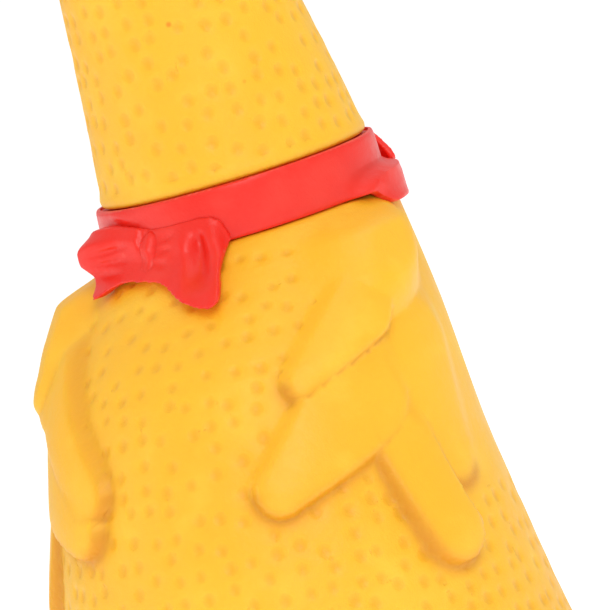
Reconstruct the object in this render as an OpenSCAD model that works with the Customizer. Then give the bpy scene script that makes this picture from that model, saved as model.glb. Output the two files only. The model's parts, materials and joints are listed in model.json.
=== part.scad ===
// Squeeze-and-squawk rubber chicken: two soft vinyl shells joined at the neck by a reed
// whistle, a red bow-tie collar over the joint, and two snap-in legs.
// Millimetres, +Z up, the chicken faces -Y, soles on Z = 0.

/* [Body] */
// Height of the trunk from its underside to the collar seat
body_h = 132; // [115:1:150]
// Largest radius of the trunk
belly_r = 41.9; // [37:0.1:47]
// How far the belly hangs forward of the neck's axis
belly_forward = 19.6; // [14:0.2:24]
// Thickness of the soft vinyl walls
wall = 1.8; // [1.4:0.1:2.4]
// How far the wing shoulders stand out of the trunk
wing_relief = 6; // [3:0.5:8]
// How far the tail reaches behind the neck's axis
tail_len = 44; // [38:1:52]

/* [Neck and head] */
// Radius of the neck at its lower edge
neck_r = 22.1; // [20.5:0.1:24]
// Radius at the slimmest place of the neck
throat_r = 15.8; // [13.5:0.1:18]
// Height from the lower edge of the neck to the middle of the head
neck_h = 80; // [68:1:95]
// Half the width of the head
head_r = 17.5; // [15:0.5:21]
// Radius of the mouth opening
mouth_r = 6; // [4.5:0.5:7.5]
// How far the beak reaches in front of the head
beak_len = 24; // [18:1:30]
// Height of the comb's middle lobe above the head
comb_h = 14; // [9:0.5:20]
// Thickness of the comb
comb_t = 5; // [3:0.5:7]
// Radius of an eye
eye_r = 5.4; // [4:0.2:6.4]

/* [Collar] */
// Height of the collar band
collar_h = 9.6; // [8:0.2:12]
// Thickness of the collar band
collar_t = 1.7; // [1.4:0.1:2.4]
// Half the width of the bow
bow_half_w = 16; // [12:0.5:18]
// Half the height of a bow loop at its outer end
bow_half_h = 8; // [6:0.5:9]
// Thickness of a bow loop
bow_t = 4.2; // [3:0.2:5]
// Turn of the bow from straight ahead, towards the chicken's left
bow_turn = -12; // [-14:1:14]
// Lean of the bow, its lower edge standing out over the breast
bow_lean = 44; // [42:1:48]

/* [Legs] */
// Height of the hip joints above the floor
hip_z = 62; // [54:1:74]
// Distance of each hip joint from the middle
hip_x = 20; // [18:0.5:24]
// Radius of the ball on top of each leg
hip_ball_r = 13; // [11:0.5:15]
// Largest radius of the drumstick
thigh_r = 10.2; // [8.5:0.1:11]
// Radius of the shank at the ankle
ankle_r = 5.2; // [4:0.2:6.5]
// Length of the middle toe from the ankle
toe_len = 33; // [26:1:40]
// Width of a toe
toe_w = 9; // [7:0.5:11]
// Height of the toes
toe_h = 7; // [5:0.5:9]

/* [Whistle] */
// Radius of the whistle barrel
barrel_r = 16.2; // [15:0.1:17.5]
// Length of the whistle housing
housing_l = 33; // [31:1:38]
// Length of the reed that vibrates
reed_l = 13; // [11:0.5:16]
// Thickness of the reed
reed_t = 0.3; // [0.2:0.05:0.5]
// Width of the reed
reed_w = 5; // [4:0.25:6]

/* [Fits] */
// Gap round a part that turns
turn_gap = 0.3; // [0.2:0.05:0.5]
// Gap round a part that only has to go in
seat_gap = 0.05; // [0.02:0.01:0.1]

/* [Hidden] */
$fn = 64;

vinyl_yellow = [0.98, 0.75, 0.17];
vinyl_red = [0.93, 0.14, 0.08];
vinyl_orange = [0.96, 0.47, 0.09];
whistle_white = [0.93, 0.92, 0.88];

neck_y = 8.5;                        // the neck's axis behind the origin, so that the origin is mid-depth
cup_lip = 4;                         // how far the hip cups reach below the balls' middles
body_bottom = hip_z - cup_lip;
seat_z = body_bottom + body_h;       // where the collar sits on the shoulders
tube_r = neck_r - 0.1;               // the trunk's neck tube, inside the collar
collar_ir = tube_r + turn_gap;
collar_or = collar_ir + collar_t;
shoulder_r = collar_or + 0.25;
tube_top = seat_z + collar_h - 0.7;
neck_z = seat_z + collar_h + turn_gap; // the neck's lower edge
head_z = neck_z + neck_h;
trunk_n = 48;                        // points round a ring of the trunk
round_n = 36;                        // points round a ring of the head
face_n = 24;                         // fineness of spheres inside a hull

// ---- curves and lofts ----

function clamp(x, lo = 0, hi = 1) = min(max(x, lo), hi);
function smooth(x) = let (t = clamp(x)) t * t * (3 - 2 * t);
function segment(table, x, i = 0) =
    (i >= len(table) - 2 || x < table[i + 1][0]) ? i : segment(table, x, i + 1);
function slope(table, i) =
    let (a = max(i - 1, 0), b = min(i + 1, len(table) - 1))
    (table[b][1] - table[a][1]) / (table[b][0] - table[a][0]);
// A smooth curve through [place, value] pairs
function curve(table, x) =
    let (i = segment(table, x), p = table[i], q = table[i + 1], w = q[0] - p[0],
         t = clamp((x - p[0]) / w), u = 1 - t)
    p[1] * (1 + 2 * t) * u * u + q[1] * (3 - 2 * t) * t * t
        + w * (slope(table, i) * t * u * u - slope(table, i + 1) * t * t * u);

// One closed solid through rings of points that all have the same count, lowest ring first
module loft(rings) {
    n = len(rings[0]);
    m = len(rings);
    points = [for (ring = rings) each ring];
    sides = [for (j = [0 : m - 2], i = [0 : n - 1], half = [0, 1])
        let (a = j * n + i, b = j * n + (i + 1) % n)
        half == 0 ? [a, a + n, b] : [b, a + n, b + n]];
    floor_face = [for (i = [0 : n - 1]) i];
    top_face = [for (i = [n - 1 : -1 : 0]) (m - 1) * n + i];
    polyhedron(points, concat([floor_face, top_face], sides), convexity = 8);
}

// ---- trunk ----

// [share of the trunk's height, radius]
body_radii = [[0, 0.34 * belly_r], [0.03, 0.525 * belly_r], [0.08, 0.706 * belly_r],
              [0.15, 0.847 * belly_r], [0.24, 0.947 * belly_r], [0.36, belly_r],
              [0.47, 0.964 * belly_r], [0.62, 0.902 * belly_r], [0.69, 0.862 * belly_r],
              [0.77, 0.821 * belly_r], [0.85, 0.774 * belly_r], [0.925, 0.692 * belly_r], [1, shoulder_r]];
// [share of the trunk's height, how far its middle lies forward]
body_forward = [[0, 0.52 * belly_forward], [0.16, 0.70 * belly_forward], [0.32, 0.90 * belly_forward],
                [0.47, belly_forward], [0.62, belly_forward], [0.69, 0.94 * belly_forward],
                [0.77, 0.82 * belly_forward], [0.85, 0.66 * belly_forward], [0.925, 0.39 * belly_forward], [1, 0]];

// Share of full relief at a place [arc, height] near a bar from a to b
function bar(p, a, b, r) =
    let (d = b - a, t = clamp((p - a) * d / (d * d)))
    smooth(1.6 * (1 - norm(p - a - t * d) / r));

// Relief of one wing at an angle from the breast and a distance below the collar seat:
// the shoulder and upper arm, two front feathers, and the long rear feather
function wing_at(angle, down) =
    let (p = [angle * 0.6, -down])
    max(wing_relief * bar(p, [43, -9], [37, -17], 12),
        0.55 * wing_relief * bar(p, [36, -18], [27, -23], 8),
        0.55 * wing_relief * bar(p, [33, -22], [20, -36], 9),
        0.50 * wing_relief * bar(p, [44, -18], [45, -50], 14));

// A ring round the trunk at a share of its height, drawn in by inset
function body_ring(u, inset) =
    let (z = body_bottom + inset + u * (body_h - inset))
    [for (i = [0 : trunk_n - 1])
        let (angle = 360 * i / trunk_n - 180,
             r = curve(body_radii, u) - inset + wing_at(abs(angle), body_h * (1 - u)))
        [r * sin(angle), -curve(body_forward, u) - r * cos(angle), z]];

function circle_ring(r, z) =
    [for (i = [0 : trunk_n - 1]) let (a = 360 * i / trunk_n - 180) [r * sin(a), -r * cos(a), z]];

body_steps = [0, 0.012, 0.03, 0.06, 0.1, 0.15, 0.21, 0.27, 0.33, 0.37, 0.41, 0.45, 0.48, 0.51, 0.55, 0.59,
              0.64, 0.69, 0.73, 0.77, 0.80, 0.83, 0.86, 0.89, 0.92, 0.95, 0.975, 1];

module hip_balls(r) {
    for (side = [-1, 1]) translate([side * hip_x, hip_y, hip_z]) sphere(r);
}
hip_y = -11;                         // the hips under the trunk's weight, from the neck's axis
tail_z = body_bottom + 0.40 * body_h;

// A short fan of tail feathers, its root in the wall of the trunk
module tail() hull() {
    for (x = [-1, 1], z = [-1, 1])
        translate([5 * x, -curve(body_forward, 0.4) + belly_r - wall - 3.5, tail_z + 6 * z]) sphere(3, $fn = 16);
    for (p = [[-4.5, 14, 1], [0, 17.5, 0], [4.5, 14, 1]])
        translate([p[0], tail_len - 3 - p[2], tail_z + p[1]]) sphere(3, $fn = 16);
}

module body_shell() color(vinyl_yellow) translate([0, neck_y, 0])
    difference() {
        union() {
            difference() {
                union() {
                    loft(concat([for (u = body_steps) body_ring(u, 0)],
                                [circle_ring(tube_r, seat_z), circle_ring(tube_r, tube_top)]));
                    tail();
                }
                loft(concat([for (u = body_steps) body_ring(u, wall)],
                            [circle_ring(tube_r - wall, tube_top - wall)]));
            }
            difference() {
                hip_balls(hip_ball_r + turn_gap + wall);
                translate([-100, -100, hip_z - cup_lip - 100]) cube([200, 200, 100]);
            }
        }
        hip_balls(hip_ball_r + turn_gap);
        translate([0, 0, tube_top - 2 * wall]) cylinder(r = rim_r, h = 3 * wall);
    }

// ---- whistle ----

rim_r = barrel_r + 2 * turn_gap;     // the hole in the trunk's rim turns on the barrel
flange_r = tube_r - wall - 0.7;
housing_z = tube_top - wall - turn_gap - 9;
housing_top = housing_z + housing_l;
bore_r = barrel_r - 2.2;
ledge_z = tube_top - 3;
plate_t = 2.4;
shallot_r = 4.6;

module whistle_housing() color(whistle_white) translate([0, neck_y, 0])
    difference() {
        union() {
            translate([0, 0, housing_z]) cylinder(r = barrel_r - 0.8, h = housing_l);
            translate([0, 0, tube_top - wall - turn_gap - 2]) cylinder(r = flange_r, h = 2);
            translate([0, 0, tube_top - wall - turn_gap - 1])
                cylinder(r = barrel_r, h = neck_z + wall + 1.5 - tube_top + wall + turn_gap);
            translate([0, 0, neck_z + wall + seat_gap]) cylinder(r = flange_r - 1.5, h = 2);
        }
        translate([0, 0, ledge_z]) cylinder(r = bore_r, h = housing_l);
        translate([0, 0, housing_z - 1]) cylinder(r = bore_r - 2, h = housing_l);
    }

// The plate that holds the shallot, a half tube whose flat the reed beats on
module reed_plate() color([0.2, 0.2, 0.22]) translate([0, neck_y, 0])
    difference() {
        union() {
            translate([0, 0, ledge_z]) cylinder(r = bore_r - seat_gap, h = plate_t);
            difference() {
                translate([0, 0, ledge_z]) cylinder(r = shallot_r, h = plate_t + reed_l + 7);
                translate([-10, -20, ledge_z + plate_t]) cube([20, 20, reed_l + 10]);
            }
        }
        translate([0, shallot_r / 2, ledge_z - 1]) cylinder(r = 1.5, h = plate_t + reed_l + 4.5);
        translate([-1.2, -1, ledge_z + plate_t + 6]) cube([2.4, 1.6 + shallot_r / 2, reed_l - 3]);
    }

reed_root_z = ledge_z + plate_t + 4.5;
reed_gap = 0.2;                      // between the reed's root and the shallot's flat
reed_lift = 2.6;                     // the reed stands open a little at rest

module reed() color([0.8, 0.62, 0.25]) translate([0, neck_y, 0])
    translate([0, -reed_gap - reed_t / 2, reed_root_z]) rotate([reed_lift, 0, 0])
        translate([-reed_w / 2, -reed_t / 2, -2.2]) cube([reed_w, reed_t, reed_l + 2.2]);

// A wedge ring round the shallot, that holds the reed's root down
module reed_clip() color(whistle_white) translate([0, neck_y, 0])
    difference() {
        translate([0, 0, ledge_z + plate_t + 0.5]) cylinder(r = shallot_r + 1.5, h = 3.6);
        difference() {
            translate([0, 0, ledge_z]) cylinder(r = shallot_r + seat_gap, h = 12);
            translate([-10, -20 - reed_t - 2.2 * reed_gap, ledge_z - 1]) cube([20, 20, 14]);
        }
    }

cap_holes = 6;
module whistle_cap() color(whistle_white) translate([0, neck_y, housing_top])
    difference() {
        union() {
            cylinder(r = barrel_r - 0.8, h = 1.6);
            translate([0, 0, -4]) cylinder(r = bore_r - seat_gap, h = 4.5);
        }
        translate([0, 0, -5]) cylinder(r = bore_r - 1.6, h = 5);
        translate([0, 0, -1]) cylinder(r = 1.8, h = 4);
        for (i = [1 : cap_holes]) rotate(360 * i / cap_holes) translate([7.5, 0, -1]) cylinder(r = 1.8, h = 4);
    }

// ---- neck and head ----

// [height above the neck's lower edge as a share of neck_h, half width, half depth, how far forward]
head_rows = [[0, neck_r, neck_r, 0], [0.02, neck_r + 0.3, neck_r + 0.3, 0], [0.2, 20.4, 20.4, 0.9],
             [0.42, 17.9, 17.9, 3], [0.62, throat_r, throat_r, 4.8], [0.76, throat_r + 0.2, 17.6, 7],
             [0.88, head_r - 0.6, 20.2, 9.3], [1, head_r, 21, 10.4], [1.12, head_r - 0.9, 19.6, 10],
             [1.21, head_r - 4, 16, 8.8], [1.27, head_r - 8.8, 10.6, 8], [1.295, 4, 5, 7.6]];
function head_row(k) = [for (row = head_rows) [row[0], row[k]]];
head_steps = [0, 0.02, 0.08, 0.15, 0.24, 0.34, 0.44, 0.54, 0.64, 0.72, 0.79, 0.85, 0.91, 0.97, 1.03,
              1.09, 1.15, 1.2, 1.24, 1.27, 1.295];

function head_ring(u, inset) =
    [for (i = [0 : round_n - 1])
        let (a = 360 * i / round_n - 180)
        [(curve(head_row(1), u) - inset) * sin(a),
         -curve(head_row(3), u) - (curve(head_row(2), u) - inset) * cos(a),
         neck_z + (u == 0 ? inset : 0) + u * (neck_h - (u > 1 ? inset * 0.12 : 0))]];

face_y = -curve(head_row(3), 1) - curve(head_row(2), 1); // front of the head, from the neck's axis
mouth_z = head_z + 2;
eye_angle = 62;                      // an eye's angle from straight ahead
eye_z = head_z + 8;
eye_sink = 0.9;

// Puts a child on the side of the head, facing out along +Z, with its base a little under the skin
module at_eye(side) {
    skin = (curve(head_row(1), 1.1) * sin(eye_angle) ^ 2 + curve(head_row(2), 1.1) * cos(eye_angle) ^ 2);
    translate([side * skin * sin(eye_angle), -curve(head_row(3), 1.1) - skin * cos(eye_angle), eye_z])
        rotate([0, 0, side * eye_angle - 90]) rotate([0, 84, 0]) translate([0, 0, -eye_sink]) children();
}

module head_shell() color(vinyl_yellow) translate([0, neck_y, 0])
    difference() {
        loft([for (u = head_steps) head_ring(u, 0)]);
        loft([for (u = head_steps) if (u != 0.02) head_ring(u, wall)]);
        translate([0, 0, neck_z - 1]) cylinder(r = barrel_r + seat_gap, h = wall + 2);
        translate([0, face_y + 8, mouth_z]) rotate([90, 0, 0]) cylinder(r = mouth_r, h = 30);
        for (side = [-1, 1]) at_eye(side) cylinder(r = eye_r + seat_gap, h = 10);
    }

module eye(side) color("white") translate([0, neck_y, 0]) at_eye(side) {
    cylinder(r = eye_r, h = 1.2);
    translate([0, 0, 1.2]) intersection() {
        translate([0, 0, 1.8 - 0.5 * eye_r - 1.3]) sphere(r = eye_r + 0.66);
        cylinder(r = eye_r - 0.1, h = 10);
        difference() {
            cylinder(r = eye_r, h = 10);
            cylinder(r = eye_r * 0.44, h = 20, center = true);
        }
    }
}
module left_eye() eye(1);
module right_eye() eye(-1);

module pupil(side) color([0.03, 0.03, 0.03]) translate([0, neck_y, 0]) at_eye(side)
    translate([0, 0, 1.2 + seat_gap]) intersection() {
        translate([0, 0, 1.8 - 0.5 * eye_r - 1.2]) sphere(r = eye_r + 0.66);
        cylinder(r = eye_r * 0.44 - seat_gap, h = 10);
    }
module left_pupil() pupil(1);
module right_pupil() pupil(-1);

// A rounded bar lying in the YZ plane, from a to b, as thick as the comb
module comb_bar(a, b, r) {
    d = b - a;
    translate([-comb_t / 2, 0, 0]) rotate([90, 0, 90]) {
        for (p = [a, b]) translate([p[0], p[1], 0]) cylinder(r = r, h = comb_t);
        translate([a[0], a[1], 0]) rotate(atan2(d[1], d[0])) translate([0, -r, 0]) cube([norm(d), 2 * r, comb_t]);
    }
}

comb_y = -curve(head_row(3), 1.1);
comb_z = neck_z + 1.19 * neck_h;
comb_base_r = 21.4;
// [turn from upright, share of the full height, radius]
comb_lobes = [[-64, 0.62, 3.2], [-36, 0.86, 3.8], [-6, 1, 4.2], [26, 0.9, 3.9], [54, 0.66, 3.3]];

module comb() color(vinyl_red) translate([0, neck_y, 0])
    difference() {
        union() {
            translate([-comb_t / 2, comb_y, comb_z - 10]) rotate([90, 0, 90]) cylinder(r = comb_base_r, h = comb_t);
            for (lobe = comb_lobes)
                let (dir = [sin(lobe[0]), cos(lobe[0])], foot = [comb_y, comb_z - 8] + 9 * dir)
                comb_bar(foot, foot + (comb_h * lobe[1] + 8 - lobe[2]) * dir, lobe[2]);
        }
        loft([for (u = head_steps) if (u > 0.7) head_ring(u, -seat_gap)]);
        upper_beak_form(2 * seat_gap);
        translate([-20, comb_y - 50, comb_z - 59]) cube([40, 100, 50]);
    }

// Half of the beak before its cuts: root corners spread across the face and one tip
module beak_form(root_w, root_z, tip, tip_r, root_r, grow = 0) hull() {
    for (side = [-1, 1]) translate([side * root_w, face_y + 5, root_z]) sphere(root_r + grow, $fn = face_n);
    translate([0, face_y - 0.45 * beak_len, root_z + 0.42 * (tip - root_z)])
        sphere(0.5 * root_w + grow, $fn = face_n);
    translate([0, face_y - beak_len + tip_r, tip]) sphere(tip_r + grow, $fn = face_n);
}
module upper_beak_form(grow = 0) beak_form(6.5, mouth_z + 5.5, mouth_z + 13, 1.8, 4.5, grow);
module lower_beak_form(grow = 0) beak_form(5.5, mouth_z - 6, mouth_z - 16, 1.8, 3.8, grow);

module beak_cut() {
    difference() {
        children();
        loft([for (u = head_steps) if (u > 0.7) head_ring(u, -seat_gap)]);
        translate([0, face_y + 8, mouth_z])
            rotate([90, 0, 0]) cylinder(r1 = mouth_r, r2 = mouth_r + 3, h = 8 + beak_len);
    }
}
module upper_beak() color(vinyl_orange) translate([0, neck_y, 0])
    beak_cut() upper_beak_form();
module lower_beak() color(vinyl_orange) translate([0, neck_y, 0])
    beak_cut() lower_beak_form();

tongue_r = 1.8;

// Lies in the hollow of the lower beak
module tongue() color(vinyl_red) translate([0, neck_y, 0])
    difference() {
        translate([0, face_y + 2, mouth_z - mouth_r - 0.56 + tongue_r + seat_gap])
            rotate([90 + atan(3 / (8 + beak_len)), 0, 0]) cylinder(r = tongue_r, h = 0.55 * beak_len);
        loft([for (u = head_steps) if (u > 0.7) head_ring(u, -seat_gap)]);
    }

module wattle(side) color(vinyl_red) translate([0, neck_y, 0])
    difference() {
        hull() {
            translate([side * 4.2, face_y + 2, mouth_z - 13]) scale([0.5, 0.9, 1]) sphere(3, $fn = face_n);
            translate([side * 5, face_y - 0.5, mouth_z - 25]) scale([0.5, 0.9, 1.1]) sphere(5, $fn = face_n);
        }
        loft([for (u = head_steps) if (u > 0.4) head_ring(u, -seat_gap)]);
        lower_beak_form(2 * seat_gap);
    }
module left_wattle() wattle(1);
module right_wattle() wattle(-1);

// ---- collar ----

closure_turn = 150;                  // where the strap's ends meet, round from the bow
closure_gap = 1;
tab_span = 26;
tab_t = 1.2;
bow_rise = 2;                        // the bow's middle, above the shoulders
bow_r = collar_or + 7;               // the bow's middle, from the neck's axis
bow_z = seat_z + bow_rise;
bow_tilt = 9;                        // the bow hangs a little lower on one side
knot_half_w = 2.6;

module on_collar() translate([0, neck_y, seat_z]) rotate(bow_turn) children();
module on_bow() translate([0, neck_y, bow_z]) rotate(bow_turn) translate([0, -bow_r, 0])
    rotate([-bow_lean, 0, 0]) rotate([0, bow_tilt, 0]) children();

module collar_band() color(vinyl_red) on_collar() {
    difference() {
        rotate_extrude() translate([collar_ir, 0.15]) square([collar_t, collar_h - 0.15]);
        rotate(closure_turn) translate([-closure_gap / 2, -collar_or - 5, -1]) cube([closure_gap, 10, collar_h + 2]);
        rotate(closure_turn + 9) closure_hole();
    }
    rotate(closure_turn - 90 - 4) difference() {
        rotate_extrude(angle = tab_span)
            translate([collar_or + 0.15, 1.4]) square([tab_t, collar_h - 2.8]);
        rotate(90 + 4 + 9) closure_hole();
    }
    rotate(closure_turn - 90 - 4) rotate_extrude(angle = 3)
        translate([collar_or - 0.3, 1.4]) square([0.6, collar_h - 2.8]);
}
module closure_hole() translate([0, 0, collar_h / 2]) rotate([90, 0, 0]) cylinder(r = pin_r + seat_gap, h = collar_or + 5);
pin_r = 0.5;

// A tag pin through the lapped ends, with a flat head inside the tab and a thin tail that stands up
module collar_pin() color(vinyl_red) on_collar() rotate(closure_turn + 9) {
    translate([0, -collar_or - 0.15 - tab_t, collar_h / 2]) rotate([90, 0, 0])
        translate([0, 0, -tab_t - collar_t + 0.3]) cylinder(r = pin_r, h = tab_t + collar_t + 0.7);
    translate([0, -collar_or - 0.15 - tab_t - 0.1, collar_h / 2]) rotate([90, 0, 0]) cylinder(r = 1.3, h = 0.6);
    translate([0, -collar_or - 0.15 - tab_t - 0.4, collar_h / 2 + 1]) rotate([32, 0, 0])
        translate([0, 0, -0.2]) cylinder(r = 0.3, h = 3.8);
}

module bow_loops() color(vinyl_red) difference() {
    on_bow() for (side = [-1, 1]) hull() {
        for (k = [-1, 1])
            translate([side * (knot_half_w + bow_t / 2), 0, k * 2.2]) sphere(bow_t / 2, $fn = face_n);
        translate([side * (bow_half_w - bow_t / 2 - 1), bow_half_w * 0.2, bow_half_h - bow_t / 2 - 1])
            sphere(bow_t / 2, $fn = face_n);
        translate([side * (bow_half_w - bow_t / 2), bow_half_w * 0.2, bow_half_h - bow_t / 2 - 4])
            sphere(bow_t / 2, $fn = face_n);
        translate([side * (bow_half_w - bow_t / 2 - 2), bow_half_w * 0.2, -bow_half_h + bow_t / 2 - 1])
            sphere(bow_t / 2, $fn = face_n);
    }
    translate([0, neck_y, seat_z - 20]) cylinder(r = collar_or + seat_gap, h = 60);
}

// The knot, a rounded pad on a stem that stands on the band
module bow_knot() color(vinyl_red) difference() {
    union() {
        on_bow() rotate([90, 0, 0]) translate([0, 0, -2.6]) {
            cylinder(r = knot_half_w - 0.4, h = 4.2, $fn = 32);
            translate([0, 0, 4.2]) cylinder(r1 = knot_half_w - 0.4, r2 = knot_half_w - 1.5, h = 1.1, $fn = 32);
        }
        on_collar() translate([-knot_half_w + 0.9, -bow_r + 1, 1.6]) cube([2 * knot_half_w - 1.8, 9, 5.4]);
    }
    translate([0, neck_y, seat_z - 20]) cylinder(r = collar_or + seat_gap, h = 60);
}

// ---- legs ----

leg_peg_r = 3;
foot_top = toe_h + 3;
leg_l = hip_z - foot_top;            // from the hip's middle down to the foot

// The leg's outline from its sole up, [height below the hip, radius]
ball_foot = -hip_ball_r * 0.71;      // where the thigh leaves the ball
leg_rows = [[-leg_l, ankle_r], [-leg_l * 0.87, ankle_r * 0.94], [-leg_l * 0.72, ankle_r * 1.16],
            [-leg_l * 0.52, thigh_r * 0.86], [-leg_l * 0.34, thigh_r], [ball_foot, hip_ball_r * 0.704]];
leg_n = 16;

function leg_side(inset) = [for (i = [0 : leg_n])
    let (z = -leg_l + (ball_foot + leg_l) * i / leg_n) [curve(leg_rows, z) - inset, z]];
module leg(side) color(vinyl_yellow) translate([side * hip_x, neck_y + hip_y, hip_z])
    difference() {
        union() {
            rotate_extrude() polygon(concat([[0, -leg_l]], leg_side(0), [[0, ball_foot]]));
            sphere(hip_ball_r);
            translate([0, 0, -leg_l - 5]) cylinder(r = leg_peg_r, h = 6);
        }
        rotate_extrude() polygon(concat([[0, -leg_l + wall]],
            [for (p = leg_side(wall)) if (p[1] > -leg_l + wall) p], [[0, ball_foot]]));
        sphere(hip_ball_r - wall);
        translate([0, 0, hip_ball_r - 2 * wall]) cylinder(r = 4, h = 3 * wall);
    }
module left_leg() leg(1);
module right_leg() leg(-1);

toe_turns = [-32, 0, 32, 180];       // three toes ahead and one behind
toe_tip_r = toe_w / 2 + 0.1;
function toe_l(turn) = turn == 180 ? toe_len * 0.5 : turn == 0 ? toe_len : toe_len * 0.86;

module foot(side) color(vinyl_orange) translate([side * hip_x, neck_y + hip_y, 0])
    rotate(side * 8) difference() {
        union() {
            for (turn = toe_turns) rotate(turn) hull() {
                cylinder(r = toe_w / 2 + 1.2, h = toe_h, $fn = 24);
                translate([0, -toe_l(turn) + toe_tip_r, 0]) cylinder(r = toe_tip_r, h = toe_h - 1.5, $fn = 24);
            }
            cylinder(r = ankle_r + 1.6, h = foot_top);
        }
        translate([0, 0, foot_top - 5 - seat_gap]) cylinder(r = leg_peg_r + seat_gap, h = 10);
    }
module left_foot() foot(1);
module right_foot() foot(-1);

body_shell();
whistle_housing();
reed_plate();
reed_clip();
reed();
whistle_cap();
head_shell();
comb();
upper_beak();
lower_beak();
tongue();
left_wattle();
right_wattle();
left_eye();
right_eye();
left_pupil();
right_pupil();
collar_band();
bow_loops();
bow_knot();
collar_pin();
left_leg();
right_leg();
left_foot();
right_foot();
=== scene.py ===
import json
import math
import random

import bpy
import numpy as np
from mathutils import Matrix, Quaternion, Vector, kdtree
from mathutils.bvhtree import BVHTree


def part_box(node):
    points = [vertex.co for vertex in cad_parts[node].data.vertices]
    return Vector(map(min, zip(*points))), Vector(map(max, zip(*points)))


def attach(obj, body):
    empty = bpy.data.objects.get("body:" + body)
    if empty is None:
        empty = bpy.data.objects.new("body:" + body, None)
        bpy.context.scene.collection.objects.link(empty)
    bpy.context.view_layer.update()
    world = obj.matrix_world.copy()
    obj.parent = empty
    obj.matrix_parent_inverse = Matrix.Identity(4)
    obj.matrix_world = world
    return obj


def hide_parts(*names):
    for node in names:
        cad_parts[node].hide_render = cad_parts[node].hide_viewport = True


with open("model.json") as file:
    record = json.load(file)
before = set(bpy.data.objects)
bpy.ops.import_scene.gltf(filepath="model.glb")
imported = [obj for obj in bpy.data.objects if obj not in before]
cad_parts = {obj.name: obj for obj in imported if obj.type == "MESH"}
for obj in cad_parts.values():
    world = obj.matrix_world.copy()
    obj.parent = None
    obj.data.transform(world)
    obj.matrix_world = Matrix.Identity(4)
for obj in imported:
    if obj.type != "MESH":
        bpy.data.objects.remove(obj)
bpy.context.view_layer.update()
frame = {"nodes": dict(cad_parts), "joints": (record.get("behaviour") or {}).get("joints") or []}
mm = 0.001

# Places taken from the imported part

neckAxisY = next(j for j in frame["joints"] if j["name"] == "head_turn")["pos_m"][1]
hipPlace = {side: Vector(next(j for j in frame["joints"] if j["name"] == name)["pos_m"])
            for side, name in ((1, "left_hip"), (-1, "right_hip"))}
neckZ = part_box("head_shell")[0].z                         # the neck's lower edge, just over the collar


# Small tools

def say(text):
    print("chicken:", text)


def deselect():
    if bpy.context.object and bpy.context.object.mode != "OBJECT":
        bpy.ops.object.mode_set(mode="OBJECT")
    bpy.ops.object.select_all(action="DESELECT")


def pick(*objects):
    deselect()
    for obj in objects:
        obj.select_set(True)
    bpy.context.view_layer.objects.active = objects[0]


def faceOut():                            # in edit mode: turns every face outward, then leaves edit mode
    bpy.ops.mesh.select_all(action="SELECT")
    bpy.ops.mesh.normals_make_consistent(inside=False)
    bpy.ops.object.mode_set(mode="OBJECT")


def smoothStep(x):
    t = np.clip(x, 0, 1)
    return t * t * (3 - 2 * t)


def hermite(table, x):                    # a smooth curve through [place, value] pairs
    places = np.array([row[0] for row in table], float)
    values = np.array([row[1] for row in table], float)
    x = np.clip(np.asarray(x, float), places[0], places[-1])
    slopes = np.empty_like(values)
    for i in range(len(places)):
        a, b = max(i - 1, 0), min(i + 1, len(places) - 1)
        slopes[i] = (values[b] - values[a]) / (places[b] - places[a])
    i = np.clip(np.searchsorted(places, x, side="right") - 1, 0, len(places) - 2)
    w = places[i + 1] - places[i]
    t = (x - places[i]) / w
    u = 1 - t
    return (values[i] * (1 + 2 * t) * u * u + values[i + 1] * (3 - 2 * t) * t * t
            + w * (slopes[i] * t * u * u - slopes[i + 1] * t * t * u))


def points(obj):
    co = np.empty(len(obj.data.vertices) * 3, np.float32)
    obj.data.vertices.foreach_get("co", co)
    return co.reshape(-1, 3).astype(float)


def normals(obj):
    no = np.empty(len(obj.data.vertices) * 3, np.float32)
    obj.data.vertices.foreach_get("normal", no)
    return no.reshape(-1, 3).astype(float)


def setPoints(obj, co):
    obj.data.vertices.foreach_set("co", np.ascontiguousarray(co, np.float32).ravel())
    obj.data.update()


def paint(obj, name, values):             # a value per vertex, for the material to read
    attribute = obj.data.attributes.get(name) or obj.data.attributes.new(name, "FLOAT", "POINT")
    attribute.data.foreach_set("value", np.ascontiguousarray(values, np.float32))


def applyModifiers(obj):
    pick(obj)
    for modifier in list(obj.modifiers):
        bpy.ops.object.modifier_apply(modifier=modifier.name)


def fuse(obj, voxel, smooth=6, factor=0.5):   # one closed skin round everything in the mesh
    remesh = obj.modifiers.new("fuse", "REMESH")
    remesh.mode = "VOXEL"
    remesh.voxel_size = voxel
    if smooth:
        soften = obj.modifiers.new("soften", "SMOOTH")
        soften.factor = factor
        soften.iterations = smooth
    applyModifiers(obj)
    return obj


def cut(obj, tool, operation="DIFFERENCE"):
    boolean = obj.modifiers.new("cut", "BOOLEAN")
    boolean.operation = operation
    boolean.solver = "EXACT"
    boolean.object = tool
    applyModifiers(obj)
    bpy.data.objects.remove(tool, do_unlink=True)
    return obj


def joinAll(name, parts):
    pick(*parts)
    if len(parts) > 1:
        bpy.ops.object.join()
    obj = bpy.context.object
    obj.name = obj.data.name = name
    bpy.ops.object.transform_apply(location=True, rotation=True, scale=True)
    deselect()
    return obj


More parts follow.
